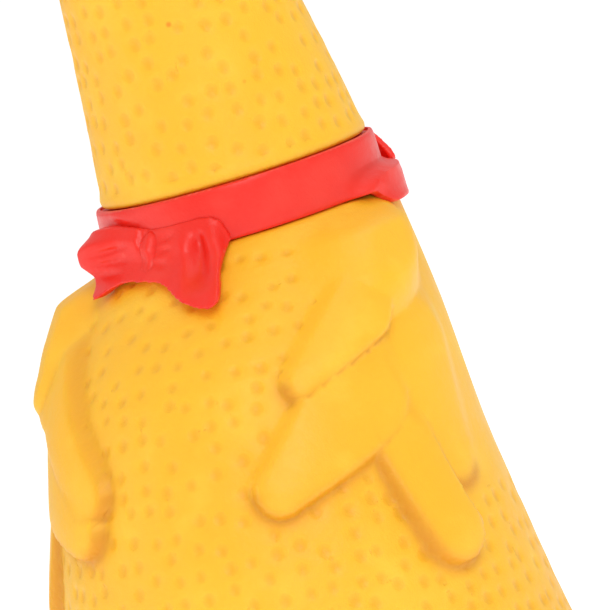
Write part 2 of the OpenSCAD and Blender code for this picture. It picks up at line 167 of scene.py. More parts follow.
# rings are [middle y, height, half width, half depth], lowest first; the tube is pulled up ring by ring
def pullTube(name, rings, sides=32, close=True):
    deselect()
    y, z, rx, ry = rings[0]
    bpy.ops.mesh.primitive_circle_add(vertices=sides, radius=1, location=(0, y, z),
                                      fill_type="NGON" if close else "NOTHING")
    obj = bpy.context.object
    obj.name = obj.data.name = name
    obj.scale = (rx, ry, 1)
    bpy.ops.object.transform_apply(location=True, rotation=True, scale=True)
    bpy.ops.object.mode_set(mode="EDIT")
    bpy.ops.mesh.select_all(action="SELECT")
    for low, high in zip(rings, rings[1:]):
        bpy.ops.mesh.extrude_region_move(
            TRANSFORM_OT_translate={"value": (0, high[0] - low[0], high[1] - low[1])})
        bpy.ops.transform.resize(value=(high[2] / low[2], high[3] / low[3], 1),
                                 center_override=(0, high[0], high[1]))
    faceOut()
    return obj


def blob(place, radii, turn=(0, 0, 0), fine=(32, 16)):   # an egg-shaped lump of clay
    deselect()
    bpy.ops.mesh.primitive_uv_sphere_add(segments=fine[0], ring_count=fine[1], radius=1, location=place,
                                         rotation=[math.radians(a) for a in turn])
    obj = bpy.context.object
    obj.scale = radii
    bpy.ops.object.transform_apply(location=True, rotation=True, scale=True)
    return obj


def subdivide(obj, levels, simple=False):
    modifier = obj.modifiers.new("fine", "SUBSURF")
    modifier.levels = modifier.render_levels = levels
    modifier.subdivision_type = "SIMPLE" if simple else "CATMULL_CLARK"
    applyModifiers(obj)


def shade(obj, angle=None):
    pick(obj)
    if angle is None:
        bpy.ops.object.shade_smooth()
    else:
        bpy.ops.object.shade_smooth_by_angle(angle=math.radians(angle))
    deselect()


# Skin: rows of pits, laid out on the real surface

skin = dict(
    pitch=4.1 * mm,                       # between pits in a row
    rowStep=3.55 * mm,                    # between rows, each row half a pitch round from the last
    jitter=0.62 * mm,
    apart=2.75 * mm,                      # no two pits are closer than this
    depth=0.32 * mm,
    spread=1.15 * mm,                     # how wide a pit's hollow is
    seed=11,
)


def pitLayout(low, high, radiusAt, middleAt, allow, seed):
    # places of pits between two heights, round a body with a given radius
    dice = random.Random(seed)
    found, z, row = [], low, 0
    while z < high:
        r = float(radiusAt(z))
        count = max(int(round(2 * math.pi * r / skin["pitch"])), 6)
        for k in range(count):
            angle = (k + 0.5 * (row % 2)) / count * 360 - 180
            jz, ja = dice.gauss(0, skin["jitter"]), dice.gauss(0, skin["jitter"])
            size = dice.uniform(0.65, 1.2)
            if allow(angle, z + jz) > 0.3:
                found.append((math.radians(angle) + ja / r, z + jz, float(middleAt(z + jz)), size))
        z += skin["rowStep"]
        row += 1
    return found


def pressPits(obj, layout, outer, reach=2.6 * mm):
    # finds each pit on the skin, presses it in, and stores how far each point is from its pit
    mesh = obj.data
    tree = BVHTree.FromObject(obj, bpy.context.evaluated_depsgraph_get())
    spots, sizes, taken = [], [], {}
    for angle, z, middle, size in layout:
        out = Vector((math.sin(angle), -math.cos(angle), 0))
        hit = tree.ray_cast(Vector((0, middle, z)) + out * 0.09, -out)[0]
        if hit is None:
            continue
        cell = tuple(int(math.floor(c / skin["apart"])) for c in hit)
        around = [taken[key] for key in ((cell[0] + i, cell[1] + j, cell[2] + k) for i in (-1, 0, 1)
                                         for j in (-1, 0, 1) for k in (-1, 0, 1)) if key in taken]
        if all((hit - other).length > skin["apart"] for other in around):
            taken[cell] = hit
            spots.append(hit)
            sizes.append(size)
    finder = kdtree.KDTree(len(spots))
    for i, spot in enumerate(spots):
        finder.insert(spot, i)
    finder.balance()
    co, no = points(obj), normals(obj)
    offset = np.full((len(co), 3), 9 * mm)
    near = np.full(len(co), 9 * mm)
    size = np.ones(len(co))
    for v in range(len(co)):
        if outer[v] > 0.5:
            spot, i, distance = finder.find(co[v])
            if distance < reach:
                offset[v] = co[v] - np.array(spot)
                near[v] = distance
                size[v] = sizes[i]
    hollow = np.exp(-(near / (skin["spread"] * np.sqrt(size))) ** 2) * size
    setPoints(obj, co - no * (skin["depth"] * hollow * outer)[:, None])
    vectors = mesh.attributes.new("pitOffset", "FLOAT_VECTOR", "POINT")
    vectors.data.foreach_set("vector", (offset * 1000).astype(np.float32).ravel())
    paint(obj, "pitNear", near * 1000)
    paint(obj, "pitSize", size)
    return len(spots)


# Trunk

trunk = dict(
    bellyR=41.9 * mm,
    bellyForward=19.6 * mm,
    # share of the height from the hip cups' rims to the collar seat, and share of the belly's radius
    radii=[(0, 0.34), (0.03, 0.525), (0.08, 0.706), (0.15, 0.847), (0.24, 0.947), (0.36, 1.0),
           (0.47, 0.964),
           (0.62, 0.902), (0.69, 0.862), (0.77, 0.821), (0.85, 0.774), (0.925, 0.692), (1.0, 0.579)],
    forward=[(0, 0.52), (0.16, 0.70), (0.32, 0.90), (0.47, 1.0), (0.62, 1.0), (0.69, 0.94), (0.77, 0.82),
             (0.85, 0.66), (0.925, 0.39), (1.0, 0.0)],
    shoulderZ=189.7 * mm,
    neckTubeR=21.4 * mm,
    neckTubeTop=198.3 * mm,
    wall=1.8 * mm,
    voxel=0.78 * mm,
    wingScale=0.64,                       # millimetres round the trunk for each degree, at the wings
)
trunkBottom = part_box("body_shell")[0].z
trunkHeight = trunk["shoulderZ"] - trunkBottom


def trunkRadius(z):
    return hermite(trunk["radii"], (np.asarray(z) - trunkBottom) / trunkHeight) * trunk["bellyR"]


def trunkMiddle(z):
    return neckAxisY - hermite(trunk["forward"],
                               (np.asarray(z) - trunkBottom) / trunkHeight) * trunk["bellyForward"]


# Each feather is a lobe from root to tip: (degrees round, height in mm), with a radius, a rise off the skin
# and the width of its rounded edge at both ends, all in mm
wing = dict(
    mound=dict(place=(72, 183), size=(19, 15), rise=6.3),
    feathers=[
        dict(root=(61, 176), tip=(40.5, 168.2), radius=(7.0, 3.3), rise=(4.6, 2.6), edge=(3.2, 1.6)),
        dict(root=(56, 163.5), tip=(30.0, 153.6), radius=(10.0, 4.5), rise=(1.9, 3.1), edge=(3.0, 1.3)),
        dict(root=(64, 158), tip=(70.5, 138.4), radius=(6.0, 5.2), rise=(1.2, 3.1), edge=(1.8, 1.3)),
        dict(root=(64, 186), tip=(60, 176.5), radius=(9, 7.5), rise=(6.9, 5.6), edge=(6, 8), side=-1),
        # front: how much painted shade also lies along this feather's front edge
        dict(root=(50, 174), tip=(27, 159), radius=(7.0, 4.6), rise=(3.4, 2.8), edge=(3.2, 1.8), side=-1,
             front=0.7),
        dict(root=(80, 166), tip=(82, 150), radius=(10, 6), rise=(1.8, 0.7), edge=(7, 5)),
    ],
)


def lobe(a, z, feather):
    k = trunk["wingScale"]
    root = np.array([feather["root"][0] * k, feather["root"][1]])
    tip = np.array([feather["tip"][0] * k, feather["tip"][1]])
    d = tip - root
    t = np.clip(((a - root[0]) * d[0] + (z - root[1]) * d[1]) / d.dot(d), 0, 1)
    away = np.hypot(a - root[0] - t * d[0], z - root[1] - t * d[1])
    radius = feather["radius"][0] + t * (feather["radius"][1] - feather["radius"][0])
    rise = feather["rise"][0] + t * (feather["rise"][1] - feather["rise"][0])
    edge = feather["edge"][0] + t * (feather["edge"][1] - feather["edge"][0])
    inside = smoothStep((radius - away) / edge + 0.5)
    crown = 1 - 0.22 * np.clip(away / radius, 0, 1) ** 2
    away = np.maximum(away, 0.01)
    facing = 0.45 * (root[0] + t * d[0] - a) / away + (root[1] + t * d[1] - z) / away
    front = feather.get("front", 0) * smoothStep((root[0] + t * d[0] - a) / away)
    under = np.maximum(front, smoothStep((facing - 0.1) / 0.6))
    # painted shade: a dark band along the foot of the feather's lower edge, where its shadow would fall on
    # the skin
    foot = np.exp(-((radius - away + 0.3) / 1.35) ** 2) * under
    return rise * inside * crown, inside, foot


# how far the wing stands off the trunk, where it covers the skin, and a painted shade band along the
# feathers' lower edges
def wingRelief(degrees, zmm):
    a = np.abs(degrees) * trunk["wingScale"]
    m = wing["mound"]
    across = (a - m["place"][0] * trunk["wingScale"]) / m["size"][0]
    up = (zmm - m["place"][1]) / m["size"][1]
    d2 = across ** 2 + up ** 2
    relief = m["rise"] * smoothStep(1.25 * (1 - np.sqrt(d2)))
    cover = smoothStep(2.2 * (1 - np.sqrt(d2)))
    shade = np.zeros_like(relief)
    for feather in wing["feathers"]:
        rise, inside, foot = lobe(a, zmm, feather)
        here = np.where(np.sign(degrees) == feather.get("side", 0) * -1, 0.0, 1.0)
        rise, inside = rise * here, inside * here
        # painted shade under each feather's edge, cleared where a higher feather covers it
        shade = np.maximum(shade * (1 - inside * (rise > relief)),
                           foot * here * smoothStep((rise - relief + 1.2) / 1.2))
        blend = np.logaddexp(relief * 4, rise * 4) / 4
        relief = blend - np.log(2) / 4 * np.exp(-np.abs(relief - rise) * 4)
        cover = np.maximum(cover, inside)
    return np.maximum(relief, 0), cover, shade


def smoothZone(degrees, zmm):             # 1 where the trunk has no pits: behind the wings
    a = np.abs(degrees)
    side = smoothStep((a - 70) / 10) * smoothStep((150 - a) / 14)
    return side * smoothStep((zmm - 139) / 8) * smoothStep((192 - zmm) / 6)


def buildTrunk():
    say("trunk")
    steps = np.concatenate([[0, 0.008, 0.02], np.linspace(0.045, 0.96, 26), [0.985, 1.0]])
    rings = [(float(trunkMiddle(trunkBottom + u * trunkHeight)), trunkBottom + u * trunkHeight,
              float(trunkRadius(trunkBottom + u * trunkHeight)),
              float(trunkRadius(trunkBottom + u * trunkHeight)))
             for u in steps]
    rings.append((neckAxisY, trunk["shoulderZ"] + 0.1 * mm, trunk["neckTubeR"], trunk["neckTubeR"]))
    rings.append((neckAxisY, trunk["neckTubeTop"], trunk["neckTubeR"], trunk["neckTubeR"]))
    body = pullTube("trunkSkin", rings, sides=96)

    parts = [body]
    cupR = 15.1 * mm
    # haunches round the hip cups, cut level with the trunk's underside
    for side, place in hipPlace.items():
        for centre, radii in ((place, (cupR, cupR, cupR)),
                              (place + Vector((-0.8 * side, -0.5, 8)) * mm,
                               (15.5 * mm, 17 * mm, 14 * mm))):
            haunch = blob(centre, radii, fine=(48, 24))
            bpy.ops.object.mode_set(mode="EDIT")
            bpy.ops.mesh.select_all(action="SELECT")
            bpy.ops.mesh.bisect(plane_co=(0, 0, trunkBottom), plane_no=(0, 0, 1), use_fill=True,
                                clear_inner=True)
            bpy.ops.object.mode_set(mode="OBJECT")
            parts.append(haunch)

    tailRoot = Vector((0, neckAxisY + 22 * mm, 111 * mm))
    fan = [(0, 0, 17.0, 24.0), (-1, 13, 13.5, 20.5), (1, 13, 13.5, 20.5), (0, -24, 6, 18)]
    for side, spread, rise, reach in fan:
        tip = Vector((side * 5.4, 0, 0)) * mm + tailRoot + Vector((0, (reach - 3.5), rise)) * mm
        middle = (tailRoot + tip) / 2
        along = tip - tailRoot
        feather = blob((0, 0, 0), (5.0 * mm, 3.4 * mm, along.length / 2 + 3.2 * mm), fine=(32, 20))
        feather.rotation_mode = "QUATERNION"
        feather.rotation_quaternion = along.to_track_quat("Z", "Y")
        feather.location = middle
        parts.append(feather)
    body = joinAll("trunkSkin", parts)
    fuse(body, trunk["voxel"], smooth=5)

    co = points(body)
    z = co[:, 2]
    middle = trunkMiddle(z)
    degrees = np.degrees(np.arctan2(co[:, 0], -(co[:, 1] - middle)))
    radius = np.hypot(co[:, 0], co[:, 1] - middle)
    relief, cover, _ = wingRelief(degrees, z * 1000)
    below = smoothStep((189.5 * mm - z) / (4 * mm))
    out = np.stack([np.sin(np.radians(degrees)), -np.cos(np.radians(degrees)), np.zeros(len(z))], 1)
    setPoints(body, co + out * (relief * mm * below)[:, None])

    inner = pullTube("hollow", [(float(trunkMiddle(trunkBottom + u * trunkHeight)),
                                 trunkBottom + trunk["wall"] + u * (trunkHeight - trunk["wall"] * 2),
                                 float(trunkRadius(trunkBottom + u * trunkHeight)) - trunk["wall"],
                                 float(trunkRadius(trunkBottom + u * trunkHeight)) - trunk["wall"])
                                for u in np.linspace(0, 1, 20)], sides=40)
    cups = [blob(place, (13.35 * mm,) * 3, fine=(48, 24)) for place in hipPlace.values()]
    deselect()
    bpy.ops.mesh.primitive_cylinder_add(vertices=48, radius=16.9 * mm, depth=30 * mm,
                                        location=(0, neckAxisY, 195 * mm))
    bore = bpy.context.object
    bpy.ops.object.transform_apply(location=True, rotation=True, scale=True)
    for tool in (inner, bore, *cups):
        cut(body, tool)

    co = points(body)
    z = co[:, 2]
    middle = trunkMiddle(z)
    degrees = np.degrees(np.arctan2(co[:, 0], -(co[:, 1] - middle)))
    radius = np.hypot(co[:, 0], co[:, 1] - middle)
    outer = (radius > trunkRadius(z) - 0.7 * mm) & (z > trunkBottom + 2 * mm) & (z < 189 * mm)
    tail = smoothStep((co[:, 1] - (neckAxisY + 24 * mm)) / (3 * mm))
    relief, cover, foot = wingRelief(degrees, z * 1000)
    plain = np.maximum.reduce([cover, smoothZone(degrees, z * 1000), tail])
    outerSkin = outer * 1.0
    outer = outer * (1 - smoothStep(plain * 1.6))

    def allow(angle, height):
        return 1 - max(float(wingRelief(np.array([angle]), np.array([height * 1000]))[1][0]),
                       float(smoothZone(np.array([angle]), np.array([height * 1000]))[0]))

    layout = pitLayout(trunkBottom + 4 * mm, 188.5 * mm, trunkRadius, trunkMiddle, allow, skin["seed"])
    count = pressPits(body, layout, outer)
    # the painted shade below the feather edges, stored as fold for the skin material to darken
    paint(body, "fold", foot * outerSkin)
    shade(body)
    say(f"trunk has {count} pits and {len(body.data.polygons)} faces")
    return body


trunkSkin = buildTrunk()
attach(trunkSkin, "torso")
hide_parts("body_shell")


# Materials

def newGroup(name, inputs, outputs):
    group = bpy.data.node_groups.new(name, "ShaderNodeTree")
    for title, kind, value in inputs:
        socket = group.interface.new_socket(title, in_out="INPUT", socket_type=kind)
        if value is not None:
            socket.default_value = value
    for title, kind in outputs:
        group.interface.new_socket(title, in_out="OUTPUT", socket_type=kind)
    return group, group.nodes.new("NodeGroupInput"), group.nodes.new("NodeGroupOutput")


def node(tree, kind, **settings):
    made = tree.nodes.new(kind)
    for key, value in settings.items():
        setattr(made, key, value)
    return made


def wire(tree, source, target):           # either end is a socket, or a plain value for the target
    if hasattr(source, "links"):
        tree.links.new(source, target)
    else:
        target.default_value = source
    return target


def mathNode(tree, operation, a, b=0.0, c=0.0, clamp=False):
    made = node(tree, "ShaderNodeMath", operation=operation, use_clamp=clamp)
    wire(tree, a, made.inputs[0])
    wire(tree, b, made.inputs[1])
    wire(tree, c, made.inputs[2])
    return made.outputs[0]


def ramp(tree, value, low, high, outLow=0.0, outHigh=1.0):
    made = node(tree, "ShaderNodeMapRange", interpolation_type="SMOOTHSTEP")
    for socket, given in zip(made.inputs[:5], (value, low, high, outLow, outHigh)):
        wire(tree, given, socket)
    return made.outputs[0]


def mixColour(tree, share, a, b, blend="MIX"):
    made = node(tree, "ShaderNodeMix", data_type="RGBA", blend_type=blend, clamp_factor=True)
    wire(tree, share, made.inputs[0])
    wire(tree, a, made.inputs[6])
    wire(tree, b, made.inputs[7])
    return made.outputs[2]


def noise(tree, vector, scale, detail=2.0, roughness=0.5, distortion=0.0):
    made = node(tree, "ShaderNodeTexNoise")
    wire(tree, vector, made.inputs["Vector"])
    made.inputs["Scale"].default_value = scale
    made.inputs["Detail"].default_value = detail
    made.inputs["Roughness"].default_value = roughness
    made.inputs["Distortion"].default_value = distortion
    return made.outputs["Fac"]


def attribute(tree, name, output="Fac"):
    return node(tree, "ShaderNodeAttribute", attribute_name=name).outputs[output]


# Pits: a soft spot at each stored pit, crisper than the mesh is fine; the skin presses it in as bump and
# darkens it as painted shade
def makePitGroup():
    group, given, result = newGroup("skinPits", [("Width", "NodeSocketFloat", 0.85),
                                                 ("Softness", "NodeSocketFloat", 0.8)],
                                    [("Pit", "NodeSocketFloat"), ("Core", "NodeSocketFloat")])
    offset = node(group, "ShaderNodeVectorMath", operation="MULTIPLY")
    wire(group, attribute(group, "pitOffset", "Vector"), offset.inputs[0])
    offset.inputs[1].default_value = (1.1, 1.1, 0.82)     # a little longer up the body than round it
    far = node(group, "ShaderNodeVectorMath", operation="LENGTH")
    wire(group, offset.outputs[0], far.inputs[0])
    size = attribute(group, "pitSize")
    width = mathNode(group, "MULTIPLY", size, given.outputs["Width"])
    outer = mathNode(group, "ADD", width, given.outputs["Softness"])
    pit = ramp(group, far.outputs["Value"], outer, mathNode(group, "MULTIPLY", width, 0.25))
    near = ramp(group, attribute(group, "pitNear"), 1.3, 1.0)
    pit = mathNode(group, "MULTIPLY", pit, near)
    wire(group, pit, result.inputs["Pit"])
    core = mathNode(group, "MULTIPLY", ramp(group, far.outputs["Value"], width, 0.05), near)
    wire(group, core, result.inputs["Core"])
    return group


# Mottle: slow colour drift, cloudy bloom and rare moulding specks of a cast vinyl skin
def makeVinylGroup():
    group, given, result = newGroup(
        "vinylMottle",
        [("Base", "NodeSocketColor", (0.9, 0.5, 0.03, 1)),
         ("Deep", "NodeSocketColor", (0.8, 0.3, 0.01, 1)),
         ("Pale", "NodeSocketColor", (0.95, 0.6, 0.1, 1)), ("Specks", "NodeSocketFloat", 0.5)],
        [("Color", "NodeSocketColor"), ("Rough", "NodeSocketFloat"), ("Height", "NodeSocketFloat")])
    place = node(group, "ShaderNodeTexCoord").outputs["Object"]
    broad = noise(group, place, 22, 2, 0.5)
    cloud = noise(group, place, 95, 3, 0.55, 0.3)
    fine = noise(group, place, 900, 3, 0.6)
    grain = noise(group, place, 3200, 2, 0.5)
    colour = mixColour(group, ramp(group, broad, 0.36, 0.7, 0, 0.5), given.outputs["Base"],
                       given.outputs["Deep"])
    colour = mixColour(group, ramp(group, cloud, 0.48, 0.75, 0, 0.6), colour, given.outputs["Pale"])
    specks = node(group, "ShaderNodeTexVoronoi", feature="F1")
    wire(group, place, specks.inputs["Vector"])
    specks.inputs["Scale"].default_value = 130
    rare = mathNode(group, "GREATER_THAN", node(group, "ShaderNodeSeparateColor").outputs[0], 0.9)
    separate = rare.node.inputs[0].links[0].from_node
    wire(group, specks.outputs["Color"], separate.inputs[0])
    dot = mathNode(group, "MULTIPLY", ramp(group, specks.outputs["Distance"], 0.09, 0.03), rare)
    dot = mathNode(group, "MULTIPLY", dot, given.outputs["Specks"])
    colour = mixColour(group, dot, colour, given.outputs["Deep"], "MULTIPLY")
    wire(group, colour, result.inputs["Color"])
    rough = mathNode(group, "ADD", ramp(group, cloud, 0.3, 0.7, -0.05, 0.06),
                     ramp(group, fine, 0.3, 0.7, -0.03, 0.03))
    wire(group, rough, result.inputs["Rough"])
    height = mathNode(group, "ADD", mathNode(group, "MULTIPLY", fine, 0.7),
                      mathNode(group, "MULTIPLY", grain, 0.3))
    wire(group, height, result.inputs["Height"])
    return group


# Edge rub: where a stored edge value is high the colour is paler and duller, broken up by noise
def makeRubGroup():
    group, given, result = newGroup(
        "edgeRub", [("Color", "NodeSocketColor", (1, 0, 0, 1)),
                    ("Worn", "NodeSocketColor", (1, 0.5, 0.4, 1)),
                    ("Edge", "NodeSocketFloat", 0.0), ("Amount", "NodeSocketFloat", 0.3)],
        [("Color", "NodeSocketColor"), ("Mask", "NodeSocketFloat")])
    place = node(group, "ShaderNodeTexCoord").outputs["Object"]
    broken = noise(group, place, 420, 4, 0.65)
    mask = mathNode(group, "MULTIPLY", given.outputs["Edge"], ramp(group, broken, 0.42, 0.62))
    mask = mathNode(group, "MULTIPLY", mask, given.outputs["Amount"], clamp=True)
    wire(group, mixColour(group, mask, given.outputs["Color"], given.outputs["Worn"]),
         result.inputs["Color"])
    wire(group, mask, result.inputs["Mask"])
    return group


pitGroup, vinylGroup, rubGroup = makePitGroup(), makeVinylGroup(), makeRubGroup()


def groupNode(tree, group, **inputs):
    made = tree.nodes.new("ShaderNodeGroup")
    made.node_tree = group
    for title, value in inputs.items():
        wire(tree, value, made.inputs[title])
    return made


def edgeMask(tree, low=0.52, high=0.6):   # convex edges, from the mesh itself
    return ramp(tree, node(tree, "ShaderNodeNewGeometry").outputs["Pointiness"], low, high)


vinylLooks = dict(
    yellow=dict(base=(0.95, 0.505, 0.020, 1), deep=(0.92, 0.43, 0.013, 1), pale=(0.96, 0.56, 0.04, 1),
                pitShadeColour=(0.78, 0.34, 0.010, 1), featherShadeColour=(0.70, 0.29, 0.006, 1),
                worn=(0.95, 0.62, 0.10, 1), rough=0.46, glow=0.22, radius=(1.0, 0.42, 0.06), specks=0.8,
                bump=0.12, rub=0.25, pits=True),
    red=dict(base=(0.86, 0.022, 0.010, 1), deep=(0.72, 0.008, 0.003, 1), pale=(0.88, 0.045, 0.026, 1),
             worn=(0.93, 0.16, 0.11, 1), rough=0.36, glow=0.18, radius=(1.0, 0.12, 0.06), specks=0.4,
             bump=0.10, rub=0.4, pits=False),
    orange=dict(base=(0.90, 0.20, 0.008, 1), deep=(0.80, 0.13, 0.004, 1), pale=(0.92, 0.27, 0.02, 1),
                worn=(0.95, 0.45, 0.10, 1), rough=0.42, glow=0.18, radius=(1.0, 0.3, 0.06), specks=0.6,
                bump=0.12, rub=0.5, pits=False),
)


def vinyl(name, look):
    material = bpy.data.materials.new(name)
    material.use_nodes = True
    tree = material.node_tree
    shader = tree.nodes["Principled BSDF"]
    mottle = groupNode(tree, vinylGroup, Base=look["base"], Deep=look["deep"], Pale=look["pale"],
                       Specks=look["specks"])
    rub = groupNode(tree, rubGroup, Color=mottle.outputs["Color"], Worn=look["worn"], Edge=edgeMask(tree),
                    Amount=look["rub"])
    colour, height = rub.outputs["Color"], mottle.outputs["Height"]
    if look["pits"]:
        pit = groupNode(tree, pitGroup)
        pit.inputs["Width"].default_value = 0.5
        pit.inputs["Softness"].default_value = 0.95
        # painted shade in each pit: the skin is darkened towards the pit's middle
        pitShade = node(tree, "ShaderNodeRGB").outputs[0]
        pitShade.default_value = look["pitShadeColour"]
        share = mathNode(tree, "MULTIPLY", pit.outputs["Pit"], 0.42)
        colour = mixColour(tree, share, colour, pitShade)
        # painted shade along the feathers' lower edges, from the stored fold value
        deep = node(tree, "ShaderNodeRGB").outputs[0]
        deep.default_value = look["featherShadeColour"]
        colour = mixColour(tree, attribute(tree, "fold"), colour, deep)
        height = mathNode(tree, "SUBTRACT", height, mathNode(tree, "MULTIPLY", pit.outputs["Pit"], 0.9))
    wire(tree, colour, shader.inputs["Base Color"])
    rough = mathNode(tree, "ADD", mottle.outputs["Rough"], look["rough"], clamp=True)
    rough = mathNode(tree, "ADD", rough, mathNode(tree, "MULTIPLY", rub.outputs["Mask"], 0.15),
                     clamp=True)
    wire(tree, rough, shader.inputs["Roughness"])
    bump = node(tree, "ShaderNodeBump")
    bump.inputs["Strength"].default_value = 1.0
    bump.inputs["Distance"].default_value = look["bump"] * mm
    wire(tree, height, bump.inputs["Height"])
    wire(tree, bump.outputs["Normal"], shader.inputs["Normal"])
    shader.inputs["Subsurface Weight"].default_value = look["glow"]
    shader.inputs["Subsurface Radius"].default_value = look["radius"]
    shader.inputs["Subsurface Scale"].default_value = 3 * mm
    shader.inputs["Specular IOR Level"].default_value = 0.42
    return material


yellowSkin = vinyl("yellowSkin", vinylLooks["yellow"])
redVinyl = vinyl("redVinyl", vinylLooks["red"])
orangeVinyl = vinyl("orangeVinyl", vinylLooks["orange"])


def plastic(name, colour, rough, coat=0.0, bump=0.02, grime=0.06):
    material = bpy.data.materials.new(name)
    material.use_nodes = True
    tree = material.node_tree
    shader = tree.nodes["Principled BSDF"]
    dull = tuple(c * (1 - grime) for c in colour[:3]) + (1,)
    mottle = groupNode(tree, vinylGroup, Base=colour, Deep=dull, Pale=colour, Specks=0.3)
    rub = groupNode(tree, rubGroup, Color=mottle.outputs["Color"], Worn=dull, Edge=edgeMask(tree),
                    Amount=0.4)
    wire(tree, rub.outputs["Color"], shader.inputs["Base Color"])
    wire(tree, mathNode(tree, "ADD", mottle.outputs["Rough"], rough, clamp=True),
         shader.inputs["Roughness"])
    bumpNode = node(tree, "ShaderNodeBump")
    bumpNode.inputs["Distance"].default_value = bump * mm
    wire(tree, mottle.outputs["Height"], bumpNode.inputs["Height"])
    wire(tree, bumpNode.outputs["Normal"], shader.inputs["Normal"])
    shader.inputs["Coat Weight"].default_value = coat
    shader.inputs["Coat Roughness"].default_value = 0.08
    return material


eyeWhite = plastic("eyeWhite", (0.86, 0.85, 0.80, 1), 0.25, coat=0.5)
pupilBlack = plastic("pupilBlack", (0.012, 0.011, 0.011, 1), 0.16, coat=0.8)
whistleWhite = plastic("whistleWhite", (0.78, 0.77, 0.72, 1), 0.34)
plateBlack = plastic("plateBlack", (0.035, 0.035, 0.04, 1), 0.4)
reedBrass = plastic("reedBrass", (0.72, 0.47, 0.16, 1), 0.3)
reedBrass.node_tree.nodes["Principled BSDF"].inputs["Metallic"].default_value = 1.0


def dress(obj, material):
    obj.data.materials.clear()
    obj.data.materials.append(material)


def dressNode(name, material):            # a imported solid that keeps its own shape
    obj = frame["nodes"][name]
    for slotItem in obj.material_slots:
        slotItem.material = material


dress(trunkSkin, yellowSkin)
for name, material in (("left_eye", eyeWhite), ("right_eye", eyeWhite), ("left_pupil", pupilBlack),
                       ("right_pupil", pupilBlack), ("whistle_housing", whistleWhite),
                       ("whistle_cap", whistleWhite),
                       ("reed_clip", whistleWhite), ("reed_plate", plateBlack), ("reed", reedBrass)):
    dressNode(name, material)


# Floor, lights and camera

studio = dict(
    floorSize=14.0,
    worldLight=0.60, backdrop=1.0, floorGlow=0.52,
    key=dict(place=(0.55, -0.75, 0.85), size=0.7, power=4.5),
    fill=dict(place=(-0.9, -0.6, 0.45), size=0.9, power=1.6),
    top=dict(place=(0.1, 0.2, 1.3), size=0.9, power=2.6),
)
shot = dict(
    azimuth=28, elevation=6.5, roll=-16.86,
    distance=0.80, width=100.65 * mm,     # width of the view at the neck's axis
    right=4.67 * mm, height=173.9 * mm,   # the view's middle, right of the axis and above the floor
)


def buildStudio():
    deselect()
    bpy.ops.mesh.primitive_plane_add(size=studio["floorSize"], location=(0, 0, 0))
    floor = bpy.context.object
    floor.name = "floor"
    bpy.ops.object.transform_apply(location=True, rotation=True, scale=True)
    paper = bpy.data.materials.new("paleFloor")
    paper.use_nodes = True
    shader = paper.node_tree.nodes["Principled BSDF"]
    shader.inputs["Base Color"].default_value = (0.93, 0.93, 0.93, 1)
    shader.inputs["Roughness"].default_value = 0.9
    shader.inputs["Specular IOR Level"].default_value = 0.1
    shader.inputs["Emission Color"].default_value = (1, 1, 1, 1)
    shader.inputs["Emission Strength"].default_value = studio["floorGlow"]
    floor.data.materials.append(paper)
    world = bpy.data.worlds.new("studio")
    bpy.context.scene.world = world
    world.use_nodes = True
    sky = world.node_tree.nodes["Background"]
    sky.inputs["Color"].default_value = (1, 1, 1, 1)
    seen = node(world.node_tree, "ShaderNodeLightPath").outputs["Is Camera Ray"]
    wire(world.node_tree, ramp(world.node_tree, seen, 0, 1, studio["worldLight"], studio["backdrop"]),
         sky.inputs["Strength"])
    target = Vector((0, neckAxisY, 0.16))
    for name in ("key", "fill", "top"):
        bpy.ops.object.light_add(type="AREA", location=studio[name]["place"])
        light = bpy.context.object
        light.name = name + "Light"
        light.data.shape = "DISK"
        light.data.size = studio[name]["size"]
        light.data.energy = studio[name]["power"]
        light.rotation_mode = "QUATERNION"
        light.rotation_quaternion = (target - light.location).to_track_quat("-Z", "Y")
    bpy.context.scene.view_settings.view_transform = "Standard"
    bpy.context.scene.view_settings.look = "None"


def buildCamera():
    a, e = math.radians(shot["azimuth"]), math.radians(shot["elevation"])
    back = Vector((math.sin(a) * math.cos(e), -math.cos(a) * math.cos(e), math.sin(e)))
    target = Vector((shot["right"] * math.cos(a), neckAxisY + shot["right"] * math.sin(a),
                     shot["height"]))
    bpy.ops.object.camera_add(location=target + back * shot["distance"])
    camera = bpy.context.object
    camera.name = "camera"
    camera.data.sensor_width = 36
    camera.data.lens = 36 * shot["distance"] / shot["width"]
    camera.data.clip_start = 0.01
    camera.rotation_mode = "QUATERNION"
    roll = Quaternion((0, 0, 1), math.radians(shot["roll"]))
    camera.rotation_quaternion = (-back).to_track_quat("-Z", "Y") @ roll
    bpy.context.scene.camera = camera


buildStudio()
buildCamera()
say("studio ready")


# Neck and head

head = dict(
    rise=80 * mm,                         # from the neck's lower edge to the middle of the head
    # share of the rise, half width, half depth and reach forward in mm
    rows=[(0.02, 22.35, 22.35, 0), (0.2, 20.4, 20.4, 0.9), (0.42, 17.9, 17.9, 3), (0.62, 15.8, 15.8, 4.8),
          (0.76, 16.0, 17.6, 7), (0.88, 16.9, 20.2, 9.3), (1, 17.5, 21, 10.4), (1.12, 16.6, 19.6, 10),
          (1.21, 13.5, 16, 8.8), (1.27, 8.7, 10.6, 8), (1.295, 4, 5, 7.6)],
    # height and radius of the rounded lower edge, in mm
    lip=[(-1.17, 21.3), (-1.13, 22.1), (-0.85, 22.52), (-0.4, 22.7), (0.3, 22.72), (0.9, 22.5)],
    wall=1.8 * mm,
    mouthR=6 * mm,
    lidR=6.1 * mm, lidThick=1.35 * mm, floorHoleR=16.35 * mm,
    voxel=0.52 * mm,
)
headMiddleZ = neckZ + head["rise"]
mouthZ = headMiddleZ + 2 * mm


def headRow(z, column):
    return hermite([(row[0], row[column]) for row in head["rows"]],
                   (np.asarray(z) - neckZ) / head["rise"]) * mm


def headY(z):
    return neckAxisY - headRow(z, 3)


